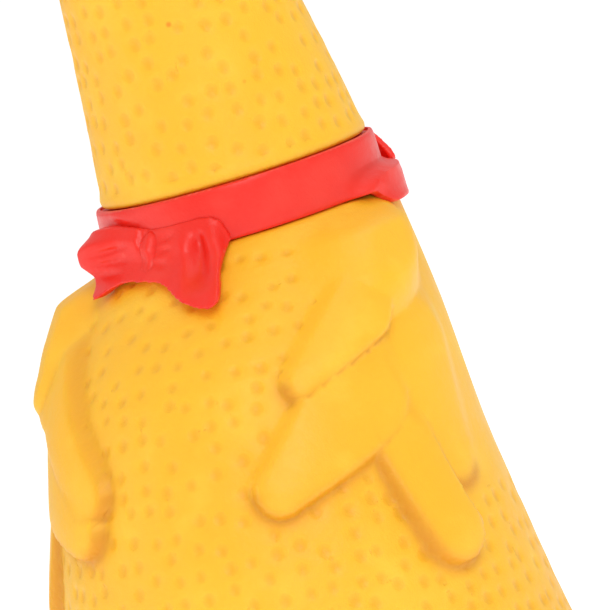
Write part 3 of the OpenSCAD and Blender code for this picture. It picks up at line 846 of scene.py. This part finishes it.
faceY = float(headY(headMiddleZ)) - float(headRow(headMiddleZ, 2))
eyeAxis = {side: Vector((side * 0.878, -0.467, 0.1045)) for side in (1, -1)}
eyePlace = {1: (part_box("left_eye")[0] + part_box("left_eye")[1]) / 2,
            -1: (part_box("right_eye")[0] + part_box("right_eye")[1]) / 2}


# a tube pulled up Z is laid forward along -Y, its own y becoming height
def alongY(obj, y, z):
    pick(obj)
    obj.rotation_euler = (math.radians(90), 0, 0)
    obj.location = (0, y, z)
    bpy.ops.object.transform_apply(location=True, rotation=True, scale=True)
    return obj


def buildHead():
    say("neck and head")
    rings = [(neckAxisY, neckZ + z * mm, r * mm, r * mm) for z, r in head["lip"]]
    for u in np.concatenate([np.linspace(0.02, 1.15, 36), [1.18, 1.21, 1.24, 1.265, 1.285, 1.295]]):
        z = neckZ + u * head["rise"]
        rings.append((float(headY(z)), z, float(headRow(z, 1)), float(headRow(z, 2))))
    parts = [pullTube("neckSkin", rings, sides=96)]
    for side in (1, -1):
        axis = eyeAxis[side]
        deselect()
        bpy.ops.mesh.primitive_torus_add(location=eyePlace[side] - axis * 1.6 * mm,
                                         major_radius=head["lidR"],
                                         minor_radius=head["lidThick"], major_segments=48,
                                         minor_segments=16)
        lid = bpy.context.object
        lid.rotation_mode = "QUATERNION"
        lid.rotation_quaternion = axis.to_track_quat("Z", "Y")
        parts.append(lid)
        parts.append(blob(eyePlace[side] + Vector((-0.2 * side, -0.2, 6.2)) * mm - axis * 2.4 * mm,
                          (2.6 * mm, 7.0 * mm, 2.0 * mm), turn=(8, 0, side * 28)))
        parts.append(blob((side * 9.5 * mm, faceY + 9 * mm, mouthZ - 3 * mm),
                          (6.2 * mm, 8 * mm, 8.5 * mm)))
        parts.append(blob((side * 14.6 * mm, faceY + 22 * mm, mouthZ - 2 * mm),
                          (2.6 * mm, 4.6 * mm, 5.6 * mm), turn=(-14, 0, 0)))
    neck = joinAll("neckSkin", parts)
    fuse(neck, head["voxel"], smooth=4)

    inner = pullTube("hollow", [(float(headY(neckZ + u * head["rise"])), neckZ + u * head["rise"],
                                 float(headRow(neckZ + u * head["rise"], 1)) - head["wall"],
                                 float(headRow(neckZ + u * head["rise"], 2)) - head["wall"])
                                for u in np.concatenate([[0.0225], np.linspace(0.08, 1.2, 18),
                                                         [1.24, 1.262]])], sides=40)
    deselect()
    bpy.ops.mesh.primitive_cylinder_add(vertices=48, radius=head["floorHoleR"], depth=6 * mm,
                                        location=(0, neckAxisY, neckZ))
    floorHole = bpy.context.object
    mouth = pullTube("mouth", [(0, -9 * mm, 5.8 * mm, 5.8 * mm),
                               (0, -2 * mm, head["mouthR"], head["mouthR"]),
                               (0, 6 * mm, 7.2 * mm, 7.2 * mm)], sides=48)
    alongY(mouth, faceY, mouthZ)
    for tool in (inner, floorHole, mouth):
        cut(neck, tool)

    co = points(neck)
    z = co[:, 2]
    middle = headY(z)
    degrees = np.degrees(np.arctan2(co[:, 0], -(co[:, 1] - middle)))
    size = np.hypot(co[:, 0] / headRow(z, 1), (co[:, 1] - middle) / headRow(z, 2))
    outer = (size > 0.955) & (z > neckZ + 1.2 * mm) & (z < neckZ + 1.28 * head["rise"])
    face = smoothStep((z - (mouthZ - 16 * mm)) / (5 * mm)) * smoothStep((72 - np.abs(degrees)) / 12)
    for side in (1, -1):
        away = np.linalg.norm(co - np.array(eyePlace[side]), axis=1)
        face = np.maximum(face, smoothStep((10.5 * mm - away) / (2 * mm)))
    outer = outer * (1 - face)

    def allow(angle, height):
        return 0.0 if height > mouthZ - 14 * mm and abs(angle) < 66 else 1.0

    layout = pitLayout(neckZ + 2.6 * mm, neckZ + 1.24 * head["rise"],
                       lambda h: float(headRow(h, 1) + headRow(h, 2)) / 2,
                       headY, allow, skin["seed"] + 1)
    count = pressPits(neck, layout, outer)
    shade(neck)
    say(f"neck has {count} pits and {len(neck.data.polygons)} faces")
    return neck


neckSkin = buildHead()
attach(neckSkin, "head")
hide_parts("head_shell")
dress(neckSkin, yellowSkin)

crest = dict(
    height=14, thick=4.9,
    # lean, share of height, radius
    lobes=[(-64, 0.62, 3.2), (-36, 0.86, 3.8), (-6, 1.0, 4.2), (26, 0.9, 3.9), (54, 0.66, 3.3)],
    baseR=21.2, voxel=0.45 * mm,
)


def buildComb():
    say("comb")
    middle = Vector((0, float(headY(neckZ + 1.1 * head["rise"])), neckZ + 1.19 * head["rise"] - 8 * mm))
    parts = [blob(middle - Vector((0, 0, 2 * mm)),
                  (crest["thick"] / 2 * mm, crest["baseR"] * mm, crest["baseR"] * mm), fine=(40, 40))]
    bpy.ops.object.mode_set(mode="EDIT")
    bpy.ops.mesh.select_all(action="SELECT")
    bpy.ops.mesh.bisect(plane_co=(0, 0, middle.z), plane_no=(0, 0, 1), use_fill=True, clear_inner=True)
    bpy.ops.object.mode_set(mode="OBJECT")
    for lean, share, radius in crest["lobes"]:
        out = Vector((0, math.sin(math.radians(lean)), math.cos(math.radians(lean))))
        foot = middle + out * 9 * mm
        tip = foot + out * (crest["height"] * share + 8 - radius) * mm
        for t, wide, thick in ((0.25, 0.82, 1.0), (0.62, 0.94, 1.0), (1.0, 1.0, 0.96)):
            lump = blob((0, 0, 0), (crest["thick"] / 2 * thick * mm, radius * wide * mm,
                                    radius * 1.45 * mm if t < 1 else radius * mm), fine=(24, 16))
            lump.rotation_mode = "QUATERNION"
            quarter = Quaternion((0, 0, 1), math.radians(90))
            lump.rotation_quaternion = out.to_track_quat("Z", "X") @ quarter
            lump.location = foot.lerp(tip, t)
            parts.append(lump)
    comb = joinAll("combCrest", parts)
    fuse(comb, crest["voxel"], smooth=7)
    co, no = points(comb), normals(comb)
    y, z = co[:, 1] - middle.y, co[:, 2] - middle.z
    lean, far = np.degrees(np.arctan2(y, z)), np.hypot(y, z) * 1000
    ribs = np.sin(np.radians(lean * 12)) * smoothStep((far - 16) / 4) * smoothStep((30 - far) / 6)
    setPoints(comb, co + no * (0.16 * mm * ribs)[:, None])
    shade(comb)
    return comb


combCrest = buildComb()
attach(combCrest, "head")
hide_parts("comb")
dress(combCrest, redVinyl)

bill = dict(
    # forward from the face, height from the mouth's middle, half width, half height, in mm
    upper=[(-5, 5.3, 10.4, 4.7), (0, 6.3, 9.6, 4.6), (5, 7.7, 7.9, 4.2), (10, 9.2, 5.9, 3.5),
           (15, 10.8, 4.2, 2.8), (19, 12.0, 2.9, 2.2), (22, 12.6, 1.8, 1.5), (23.6, 12.6, 0.8, 0.7)],
    lower=[(-5, -5.6, 9.0, 3.9), (0, -6.7, 8.2, 3.7), (5, -8.6, 6.6, 3.2), (10, -10.8, 4.9, 2.7),
           (15, -13.0, 3.4, 2.2), (19, -14.8, 2.3, 1.7), (22, -15.9, 1.4, 1.2), (23.4, -16.2, 0.7, 0.6)],
    voxel=0.4 * mm,
)


def mouthCone():
    cone = pullTube("cone", [(0, -9 * mm, 6 * mm, 6 * mm), (0, 0, 6.6 * mm, 6.4 * mm),
                             (0, 10 * mm, 8.0 * mm, 7.4 * mm), (0, 26 * mm, 10.5 * mm, 8.8 * mm)],
                             sides=48)
    return alongY(cone, faceY, mouthZ)


def buildBill(name, rows, upper):
    say(name)
    tube = pullTube(name, [(h * mm, f * mm, w * mm, d * mm) for f, h, w, d in rows], sides=40)
    alongY(tube, faceY, mouthZ)
    parts = [tube]
    if upper:                             # the ridge along the top, and the swellings round the nostrils
        for f, h, w, d in rows[1:-2]:
            parts.append(blob((0, faceY - f * mm, mouthZ + (h + d * 0.72) * mm),
                              (w * 0.30 * mm, 3.4 * mm, d * 0.46 * mm), turn=(-16, 0, 0), fine=(20, 12)))
        for side in (1, -1):
            parts.append(blob((side * 4.6 * mm, faceY - 5.5 * mm, mouthZ + 10.4 * mm),
                              (2.4 * mm, 3.6 * mm, 1.9 * mm), turn=(-16, 0, 0)))
    body = joinAll(name, parts)
    fuse(body, bill["voxel"], smooth=6)
    cut(body, mouthCone())
    if upper:
        for side in (1, -1):
            cut(body, blob((side * 5.5 * mm, faceY - 6.3 * mm, mouthZ + 11.3 * mm),
                           (1.0 * mm, 1.9 * mm, 0.8 * mm), turn=(-16, 0, side * 18), fine=(20, 12)))
    shade(body, 42)
    return body


for name, rows, upper, node_ in (("upperBill", bill["upper"], True, "upper_beak"),
                                 ("lowerBill", bill["lower"], False, "lower_beak")):
    piece = buildBill(name, rows, upper)
    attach(piece, "head")
    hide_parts(node_)
    dress(piece, orangeVinyl)


def buildTongue():
    say("tongue")
    parts = [blob((0, faceY - f * mm, mouthZ + h * mm), (w * mm, l * mm, t * mm), turn=(5, 0, 0),
                  fine=(28, 16))
             for f, h, w, l, t in ((1.5, -5.1, 2.5, 3.4, 1.35), (5, -5.5, 2.9, 4.2, 1.3),
                                   (8.6, -5.9, 2.5, 3.4, 1.15))]
    piece = joinAll("tongue", parts)
    fuse(piece, 0.3 * mm, smooth=6)
    co = points(piece)
    groove = np.exp(-(co[:, 0] / (0.55 * mm)) ** 2)
    groove *= smoothStep((co[:, 2] - (mouthZ - 5.4 * mm)) / (0.8 * mm))
    co[:, 2] -= 0.35 * mm * groove
    setPoints(piece, co)
    shade(piece)
    return piece


tongue = buildTongue()
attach(tongue, "head")
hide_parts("tongue")
dress(tongue, redVinyl)


def buildWattle(side, name):
    say(name)
    parts = [blob((side * x * mm, faceY + y * mm, mouthZ - h * mm), (w * mm, d * mm, l * mm),
                  turn=(6, 0, side * 6))
             for x, y, h, w, d, l in ((4.1, 3.2, 12.5, 1.6, 3.0, 3.6), (4.6, 1.4, 18.5, 2.0, 3.6, 5.0),
                                      (5.0, -0.3, 24.3, 2.5, 4.7, 5.6))]
    piece = joinAll(name, parts)
    fuse(piece, 0.36 * mm, smooth=7)
    co, no = points(piece), normals(piece)
    wave = np.sin((co[:, 2] - mouthZ) / mm * 1.5 + co[:, 1] / mm * 0.5)
    setPoints(piece, co + no * (0.12 * mm * wave)[:, None])
    shade(piece)
    return piece


for side, name, node_ in ((1, "leftWattle", "left_wattle"), (-1, "rightWattle", "right_wattle")):
    piece = buildWattle(side, name)
    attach(piece, "head")
    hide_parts(node_)
    dress(piece, redVinyl)


# Collar

collar = dict(
    inside=22.35 * mm, outside=23.9 * mm,
    rimInside=23.02 * mm, rimLow=198.42 * mm,   # the upper rim stands round the neck's lower edge
    low=189.8 * mm,
    flare=(2.7 * mm, 2.8 * mm),           # out and down
    tabStart=134.0, tabEnd=162.0, tabThick=1.15 * mm,
)


# The bow is shaped flat, x along the collar, y up its slope and z off it, in mm, then laid round the collar
bow = dict(
    radius=31.0, height=190.0, turn=-11.0,
    # lower and upper edge from the right loop to the left: share, x, y
    foot=[(-1, -15.9, -0.4), (-0.85, -14.4, -3.0), (-0.7, -12.4, -3.7), (-0.5, -9.2, -2.7),
          (-0.3, -6.0, -2.2),
          (0, -1.6, -2.4), (0.15, 3.4, -3.2), (0.35, 6.8, -5.3), (0.55, 9.4, -7.0), (0.75, 12.2, -8.1),
          (0.9, 14.0, -7.6), (1, 14.4, -5.4)],
    head=[(-1, -19.6, 3.8), (-0.85, -17.8, 6.2), (-0.6, -13, 6.7), (-0.35, -7.5, 6.2), (-0.15, -3.7, 5.6),
          (0.05, 0.5, 4.9), (0.35, 6.8, 4.9), (0.7, 12.8, 4.7), (0.85, 15.4, 3.6), (1, 16.8, 0.4)],
    # short creases that run out from the knot: middle x, y, half length, turn
    creases=[(-10.6, 3.0, 3.4, 3), (-11.2, 1.2, 3.6, -2), (-11.0, -0.6, 3.4, -6), (2.9, 3.0, 1.7, 8),
             (2.6, 1.3, 1.8, 0), (2.2, -0.6, 1.9, -10)],
    knot=(-0.9, 1.2), thick=2.7, clear=0.45, voxel=0.34 * mm,
)


def around(degrees, r, z):
    a = np.radians(degrees)
    return np.stack([r * np.sin(a), neckAxisY - r * np.cos(a), z], -1)


def buildBand():
    say("collar band")
    low, out = collar["low"], collar["outside"]
    profile = [(0, -0.6), (0.2, -0.25), (0.7, -0.03), (1.8, 0.02), (3.2, 0.05), (4.7, 0.05), (6.2, 0.03),
               (7.6, -0.03), (8.5, -0.10), (9.0, -0.25), (9.28, -0.75)]
    rings = [(neckAxisY, low + z * mm, out + r * mm, out + r * mm) for z, r in profile]
    band = pullTube("collarBand", rings, sides=192)
    subdivide(band, 1)
    deselect()
    bpy.ops.mesh.primitive_cylinder_add(vertices=128, radius=collar["inside"], depth=40 * mm,
                                        location=(0, neckAxisY, low))
    cut(band, bpy.context.object)
    deselect()
    bpy.ops.mesh.primitive_cylinder_add(vertices=128, radius=collar["rimInside"], depth=20 * mm,
                                        location=(0, neckAxisY, collar["rimLow"] + 10 * mm))
    cut(band, bpy.context.object)
    co = points(band)
    degrees = np.degrees(np.arctan2(co[:, 0], -(co[:, 1] - neckAxisY)))
    r = np.hypot(co[:, 0], co[:, 1] - neckAxisY)
    z = (co[:, 2] - low) / mm
    outer = smoothStep((r - (out - 0.6 * mm)) / (0.5 * mm))
    creases = np.sin(z * 1.9 + 0.05 * degrees + 0.8 * np.sin(degrees * 0.21))
    creases *= np.exp(-((degrees - bow["turn"] + 20) / 16) ** 2)
    slow = 0.10 * np.sin(np.radians(degrees * 5 + 40)) + 0.07 * np.sin(np.radians(degrees * 11) + z * 0.3)
    move = outer * (0.26 * creases + slow) * mm
    out2 = np.stack([np.sin(np.radians(degrees)), -np.cos(np.radians(degrees)), np.zeros(len(z))], 1)
    co = co + out2 * move[:, None]
    # the lower edge stands out over the shoulder beside the lapped ends
    turn = np.abs(degrees - 113)
    flare = smoothStep((48 - turn) / 30) * smoothStep((4.4 - z) / 4.2)
    co[:, 2] -= collar["flare"][1] * smoothStep(flare * 2 - 1)
    wide = np.minimum(co[:, 2], trunk["shoulderZ"])
    ahead = neckAxisY - trunkMiddle(wide)
    side = np.radians(np.abs(degrees) - 9)
    shoulder = ahead * np.cos(side) + np.sqrt(trunkRadius(wide) ** 2 - (ahead * np.sin(side)) ** 2)
    away = np.maximum(collar["inside"] + collar["flare"][0] * smoothStep(flare * 2),
                      (shoulder + 0.35 * mm) * (flare > 0.5))
    co += out2 * (away - collar["inside"])[:, None]
    setPoints(band, co)
    tab = buildTab()
    band = joinAll("collarBand", [band, tab])
    shade(band, 50)
    return band


def sheetGrid(name, across, up):          # a flat grid, its x and y running from -1 to 1
    deselect()
    bpy.ops.mesh.primitive_grid_add(x_subdivisions=across, y_subdivisions=up, size=2, location=(0, 0, 0))
    obj = bpy.context.object
    obj.name = obj.data.name = name
    return obj


def thicken(obj, thickness, offset=-1.0):
    modifier = obj.modifiers.new("wall", "SOLIDIFY")
    modifier.thickness = thickness
    modifier.offset = offset
    applyModifiers(obj)


def buildTab():
    tab = sheetGrid("tab", 48, 20)
    co = points(tab)
    a, b = (co[:, 0] + 1) / 2, co[:, 1]
    degrees = collar["tabStart"] + a * (collar["tabEnd"] - collar["tabStart"]) - 3.0 * (1 - a) ** 3 * b
    peel = np.clip(1 - a / 0.30, 0, 1) ** 1.6
    r = collar["outside"] + 0.2 * mm + (2.2 - 0.5 * b) * mm * peel
    half = (1.2 + 2.6 * np.sqrt(np.clip(a * 5, 0, 1))) * mm
    z = collar["low"] + 4.2 * mm + b * half - 2.6 * mm * peel + 0.2 * mm * np.sin(a * 9)
    setPoints(tab, around(degrees, r, z))
    thicken(tab, collar["tabThick"], offset=1.0)
    pick(tab)
    bpy.ops.object.mode_set(mode="EDIT")
    faceOut()
    fuse(tab, 0.3 * mm, smooth=4)
    return tab


collarBand = buildBand()
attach(collarBand, "collar")
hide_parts("collar_band")
dress(collarBand, redVinyl)


# the furthest that the breast stands out from the neck's axis, at a height
def breastReach(z):
    return trunkRadius(z) + neckAxisY - trunkMiddle(z)


# from the bow's flat frame, in mm, to its place over the band and the breast
def layOnCollar(co):
    z = (bow["height"] + co[:, 1]) * mm
    low = np.minimum(z, 187.6 * mm)
    breast = (breastReach(low) - 1.3 * (z - low)) / mm + bow["clear"]
    band = collar["outside"] / mm
    r = np.logaddexp(breast * 1.1, band * 1.1) / 1.1 + co[:, 2]
    return around(bow["turn"] + np.degrees(co[:, 0] / bow["radius"]), r * mm, z)


def bump(x, middle, width):
    return np.exp(-((x - middle) / width) ** 2)


# height of the bow's face over what it lies on; down runs from 0 at its upper edge
def loopFace(x, y, down):
    face = 2.5 + 3.9 * smoothStep((-x - 7) / 11) * smoothStep((y + 2.5) / 4.5) + 0.9 * bump(x, 13.6, 2.2)
    face *= np.where(x > -3, 0.22 + 0.78 * smoothStep(down / 4.2), 0.45 + 0.55 * smoothStep(down / 2.4))
    fold = bump(x + 0.15 * y, 10.7, 1.25 + 0.12 * np.clip(2 - y, 0, 5))
    face -= 1.9 * fold * smoothStep((3.8 - y) / 3) * smoothStep((y + 6) / 3)
    face += 0.5 * bump(x + 0.1 * y, 7.4, 1.3) * smoothStep((5 - y) / 3)
    for cx, cy, length, turn in bow["creases"]:
        a = math.radians(turn)
        along = (x - cx) * math.cos(a) + (y - cy) * math.sin(a)
        across = -(x - cx) * math.sin(a) + (y - cy) * math.cos(a)
        face -= 0.85 * bump(along, 0, length) * bump(across, 0, 0.48)
    return np.maximum(face, 0.35)


def buildLoops():
    say("bow loops")
    face = sheetGrid("bowLoops", 150, 84)
    co = points(face)
    a, b = co[:, 0].copy(), (co[:, 1] + 1) / 2
    edge = smoothStep((np.abs(a) - 0.8) / 0.2) * (1 - np.abs(2 * b - 1) ** 2)
    low = [hermite([(row[0], row[k]) for row in bow["foot"]], a) for k in (1, 2)]
    high = [hermite([(row[0], row[k]) for row in bow["head"]], a) for k in (1, 2)]
    x = low[0] * (1 - b) + high[0] * b + edge * np.where(a > 0, -0.9, 0.3)
    y = low[1] * (1 - b) + high[1] * b
    setPoints(face, np.stack([x, y, loopFace(x, y, high[1] - y)], 1))
    pick(face)
    bpy.ops.object.mode_set(mode="EDIT")
    bpy.ops.mesh.select_all(action="SELECT")
    bpy.ops.mesh.extrude_region_move(TRANSFORM_OT_translate={"value": (0, 0, -40)})
    faceOut()
    co = points(face)
    behind = co[:, 2] < -20
    co[behind, 2] = np.maximum(co[behind, 2] + 40 - bow["thick"], -0.2 * (co[behind, 1] > 0))
    setPoints(face, layOnCollar(co))
    fuse(face, bow["voxel"], smooth=6)
    shade(face)
    return face


bowLoops = buildLoops()
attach(bowLoops, "collar")
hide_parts("bow_loops")
dress(bowLoops, redVinyl)


def buildKnot():
    say("bow knot")
    knot = blob((0, 0, 0), (2.7, 3.7, 3.3), fine=(64, 48))
    co = points(knot)
    co[:, 0] *= 1.0 - 0.14 * bump(co[:, 1], 0, 1.6)
    dent = -0.45 * bump(co[:, 0], -0.3, 0.6) * smoothStep(co[:, 2])
    co[:, 2] += dent + 0.2 * np.sin(co[:, 1] * 1.9 + co[:, 0] * 0.6)
    co += np.array([bow["knot"][0], bow["knot"][1], 0.0])
    co[:, 2] = np.maximum(co[:, 2], 0.05)
    setPoints(knot, layOnCollar(co))
    fuse(knot, 0.3 * mm, smooth=6)
    knot.name = knot.data.name = "bowKnot"
    shade(knot)
    return knot


bowKnot = buildKnot()
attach(bowKnot, "collar")
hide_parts("bow_knot")
dress(bowKnot, redVinyl)


def buildPin():
    say("collar pin")
    deselect()
    rows = [(0, 0, 0.95, 0.95), (0, 0.3, 1.15, 1.15), (0.05, 0.7, 0.9, 0.9), (0.1, 1.0, 0.42, 0.42),
            (0.35, 1.9, 0.34, 0.34),
            (0.7, 2.8, 0.28, 0.28), (1.15, 3.7, 0.2, 0.2), (1.5, 4.3, 0.08, 0.08)]
    pin = pullTube("collarPin", [(y * mm, z * mm, rx * mm, ry * mm) for y, z, rx, ry in rows], sides=20)
    subdivide(pin, 1)
    low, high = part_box("collar_pin")
    out = (low + high) / 2 - Vector((0, neckAxisY, 0))
    out.z = 0
    out.normalize()
    aim = (out * 1.0 + Vector((0, 0, 0.55))).normalized()
    pin.rotation_mode = "QUATERNION"
    pin.rotation_quaternion = aim.to_track_quat("Z", "Y")
    pin.location = Vector((0, neckAxisY, 192.2 * mm)) + out * (collar["outside"] + 1.3 * mm)
    pick(pin)
    bpy.ops.object.transform_apply(location=True, rotation=True, scale=True)
    shade(pin)
    return pin


collarPin = buildPin()
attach(collarPin, "collar")
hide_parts("collar_pin")
dress(collarPin, redVinyl)


# Legs and feet

leg = dict(
    ballR=13.0, length=52, scaleRow=2.6,  # in mm
    # height below the hip and radius, in mm
    rows=[(-52, 5.2), (-45.2, 4.9), (-37.4, 6.0), (-27, 8.8), (-17.7, 10.2), (-9.23, 9.15)],
)


def buildLeg(side, name):
    say(name)
    hip = hipPlace[side]
    rings = []
    for z in np.linspace(-leg["length"], -9.6, 60):
        r = float(hermite(leg["rows"], z))
        rings.append((hip.y, hip.z + z * mm, r * mm, r * mm))
    for z in np.linspace(-9.0, 12.2, 26):
        r = math.sqrt(max(leg["ballR"] ** 2 - z * z, 1))
        rings.append((hip.y, hip.z + z * mm, r * mm, r * mm))
    rings.append((hip.y, hip.z + 12.85 * mm, 1.6 * mm, 1.6 * mm))
    shin = pullTube(name, rings, sides=72)
    pick(shin)
    co = points(shin)
    co[:, 0] += hip.x
    setPoints(shin, co)
    subdivide(shin, 1)
    co, no = points(shin), normals(shin)
    z = (co[:, 2] - hip.z) / mm
    degrees = np.degrees(np.arctan2(co[:, 0] - hip.x, -(co[:, 1] - hip.y)))
    shank = smoothStep((-32 - z) / 5)
    row = (z + leg["length"]) / leg["scaleRow"]
    scute = np.abs((row % 1) - 0.5) * 2
    front = smoothStep((75 - np.abs(degrees)) / 14)
    brick = np.abs(((degrees / 30 + 0.5 * np.floor(row)) % 1) - 0.5) * 2
    grid = np.maximum(scute * front, np.maximum(scute, brick) * (1 - front))
    setPoints(shin, co - no * (0.30 * mm * shank * smoothStep((grid - 0.72) / 0.26))[:, None])
    outer = (1 - shank) * (z < -8) * 1.0

    def reach(height):
        return float(hermite(leg["rows"], (height - hip.z) / mm)) * mm

    pits = pitLayout(hip.z - 34 * mm, hip.z - 7 * mm, reach, lambda h: hip.y, lambda a, h: 1,
                     skin["seed"] + 5 + side)
    layout = [(a, h, hip.y, s) for a, h, middle, s in pits]
    pressPitsOff(shin, layout, outer, hip.x)
    shade(shin)
    return shin


def pressPitsOff(obj, layout, outer, x):  # pits round an axis that stands off the middle
    co = points(obj)
    co[:, 0] -= x
    setPoints(obj, co)
    pressPits(obj, layout, outer)
    co = points(obj)
    co[:, 0] += x
    setPoints(obj, co)


foot = dict(
    toes=[(-32, 28.0), (0, 33.0), (32, 28.0), (180, 16.5)],   # turn and length in mm
    turn=8, voxel=0.5 * mm,
)


def buildFoot(side, name):
    say(name)
    hip = hipPlace[side]
    parts = [blob((0, 0, 4.0 * mm), (8.6 * mm, 8.8 * mm, 4.6 * mm)),
             pullTube("ankle", [(0, 2 * mm, 8 * mm, 8 * mm), (0, 5 * mm, 7.6 * mm, 7.6 * mm),
                                (0, 8 * mm, 6.7 * mm, 6.7 * mm), (0, 9.6 * mm, 6.6 * mm, 6.6 * mm),
                                (0, 9.95 * mm, 6.0 * mm, 6.0 * mm)], sides=40)]
    for turn, length in foot["toes"]:
        a = math.radians(turn)
        out = Vector((math.sin(a), -math.cos(a), 0))
        knuckles = ((0.28, 4.9, 0.22, 4.2), (0.48, 4.5, 0.17, 3.9), (0.66, 4.2, 0.15, 3.6),
                    (0.82, 3.9, 0.14, 3.3))
        for t, wide, long, high in knuckles:
            parts.append(blob(out * (length * t) * mm + Vector((0, 0, (high - 0.9) * mm)),
                              (wide * mm, max(length * long, 3.2) * mm, high * mm), turn=(0, 0, turn),
                              fine=(24, 16)))
        claw = blob(out * (length - 3.4) * mm + Vector((0, 0, 2.3 * mm)), (1.7 * mm, 3.3 * mm, 1.9 * mm),
                    turn=(-14, 0, turn), fine=(24, 16))
        parts.append(claw)
    for turn in (-16, 16):                # webs between the front toes
        a = math.radians(turn)
        out = Vector((math.sin(a), -math.cos(a), 0))
        parts.append(blob(out * 11 * mm + Vector((0, 0, 2.2 * mm)), (5.2 * mm, 7 * mm, 2.4 * mm),
                          turn=(0, 0, turn), fine=(24, 16)))
    piece = joinAll(name, parts)
    fuse(piece, foot["voxel"], smooth=4)
    co = points(piece)
    co[:, 2] = np.maximum(co[:, 2], 0)
    turn = math.radians(side * foot["turn"])
    x = co[:, 0] * math.cos(turn) - co[:, 1] * math.sin(turn) + hip.x
    y = co[:, 0] * math.sin(turn) + co[:, 1] * math.cos(turn) + hip.y
    setPoints(piece, np.stack([x, y, co[:, 2]], 1))
    shade(piece, 60)
    return piece


legs = ((1, "leftLeg", "left_leg", "leftFoot", "left_foot", "leg_l"),
        (-1, "rightLeg", "right_leg", "rightFoot", "right_foot", "leg_r"))
for side, legName, legNode, footName, footNode, body in legs:
    shin = buildLeg(side, legName)
    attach(shin, body)
    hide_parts(legNode)
    dress(shin, yellowSkin)
    sole = buildFoot(side, footName)
    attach(sole, body)
    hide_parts(footNode)
    dress(sole, orangeVinyl)
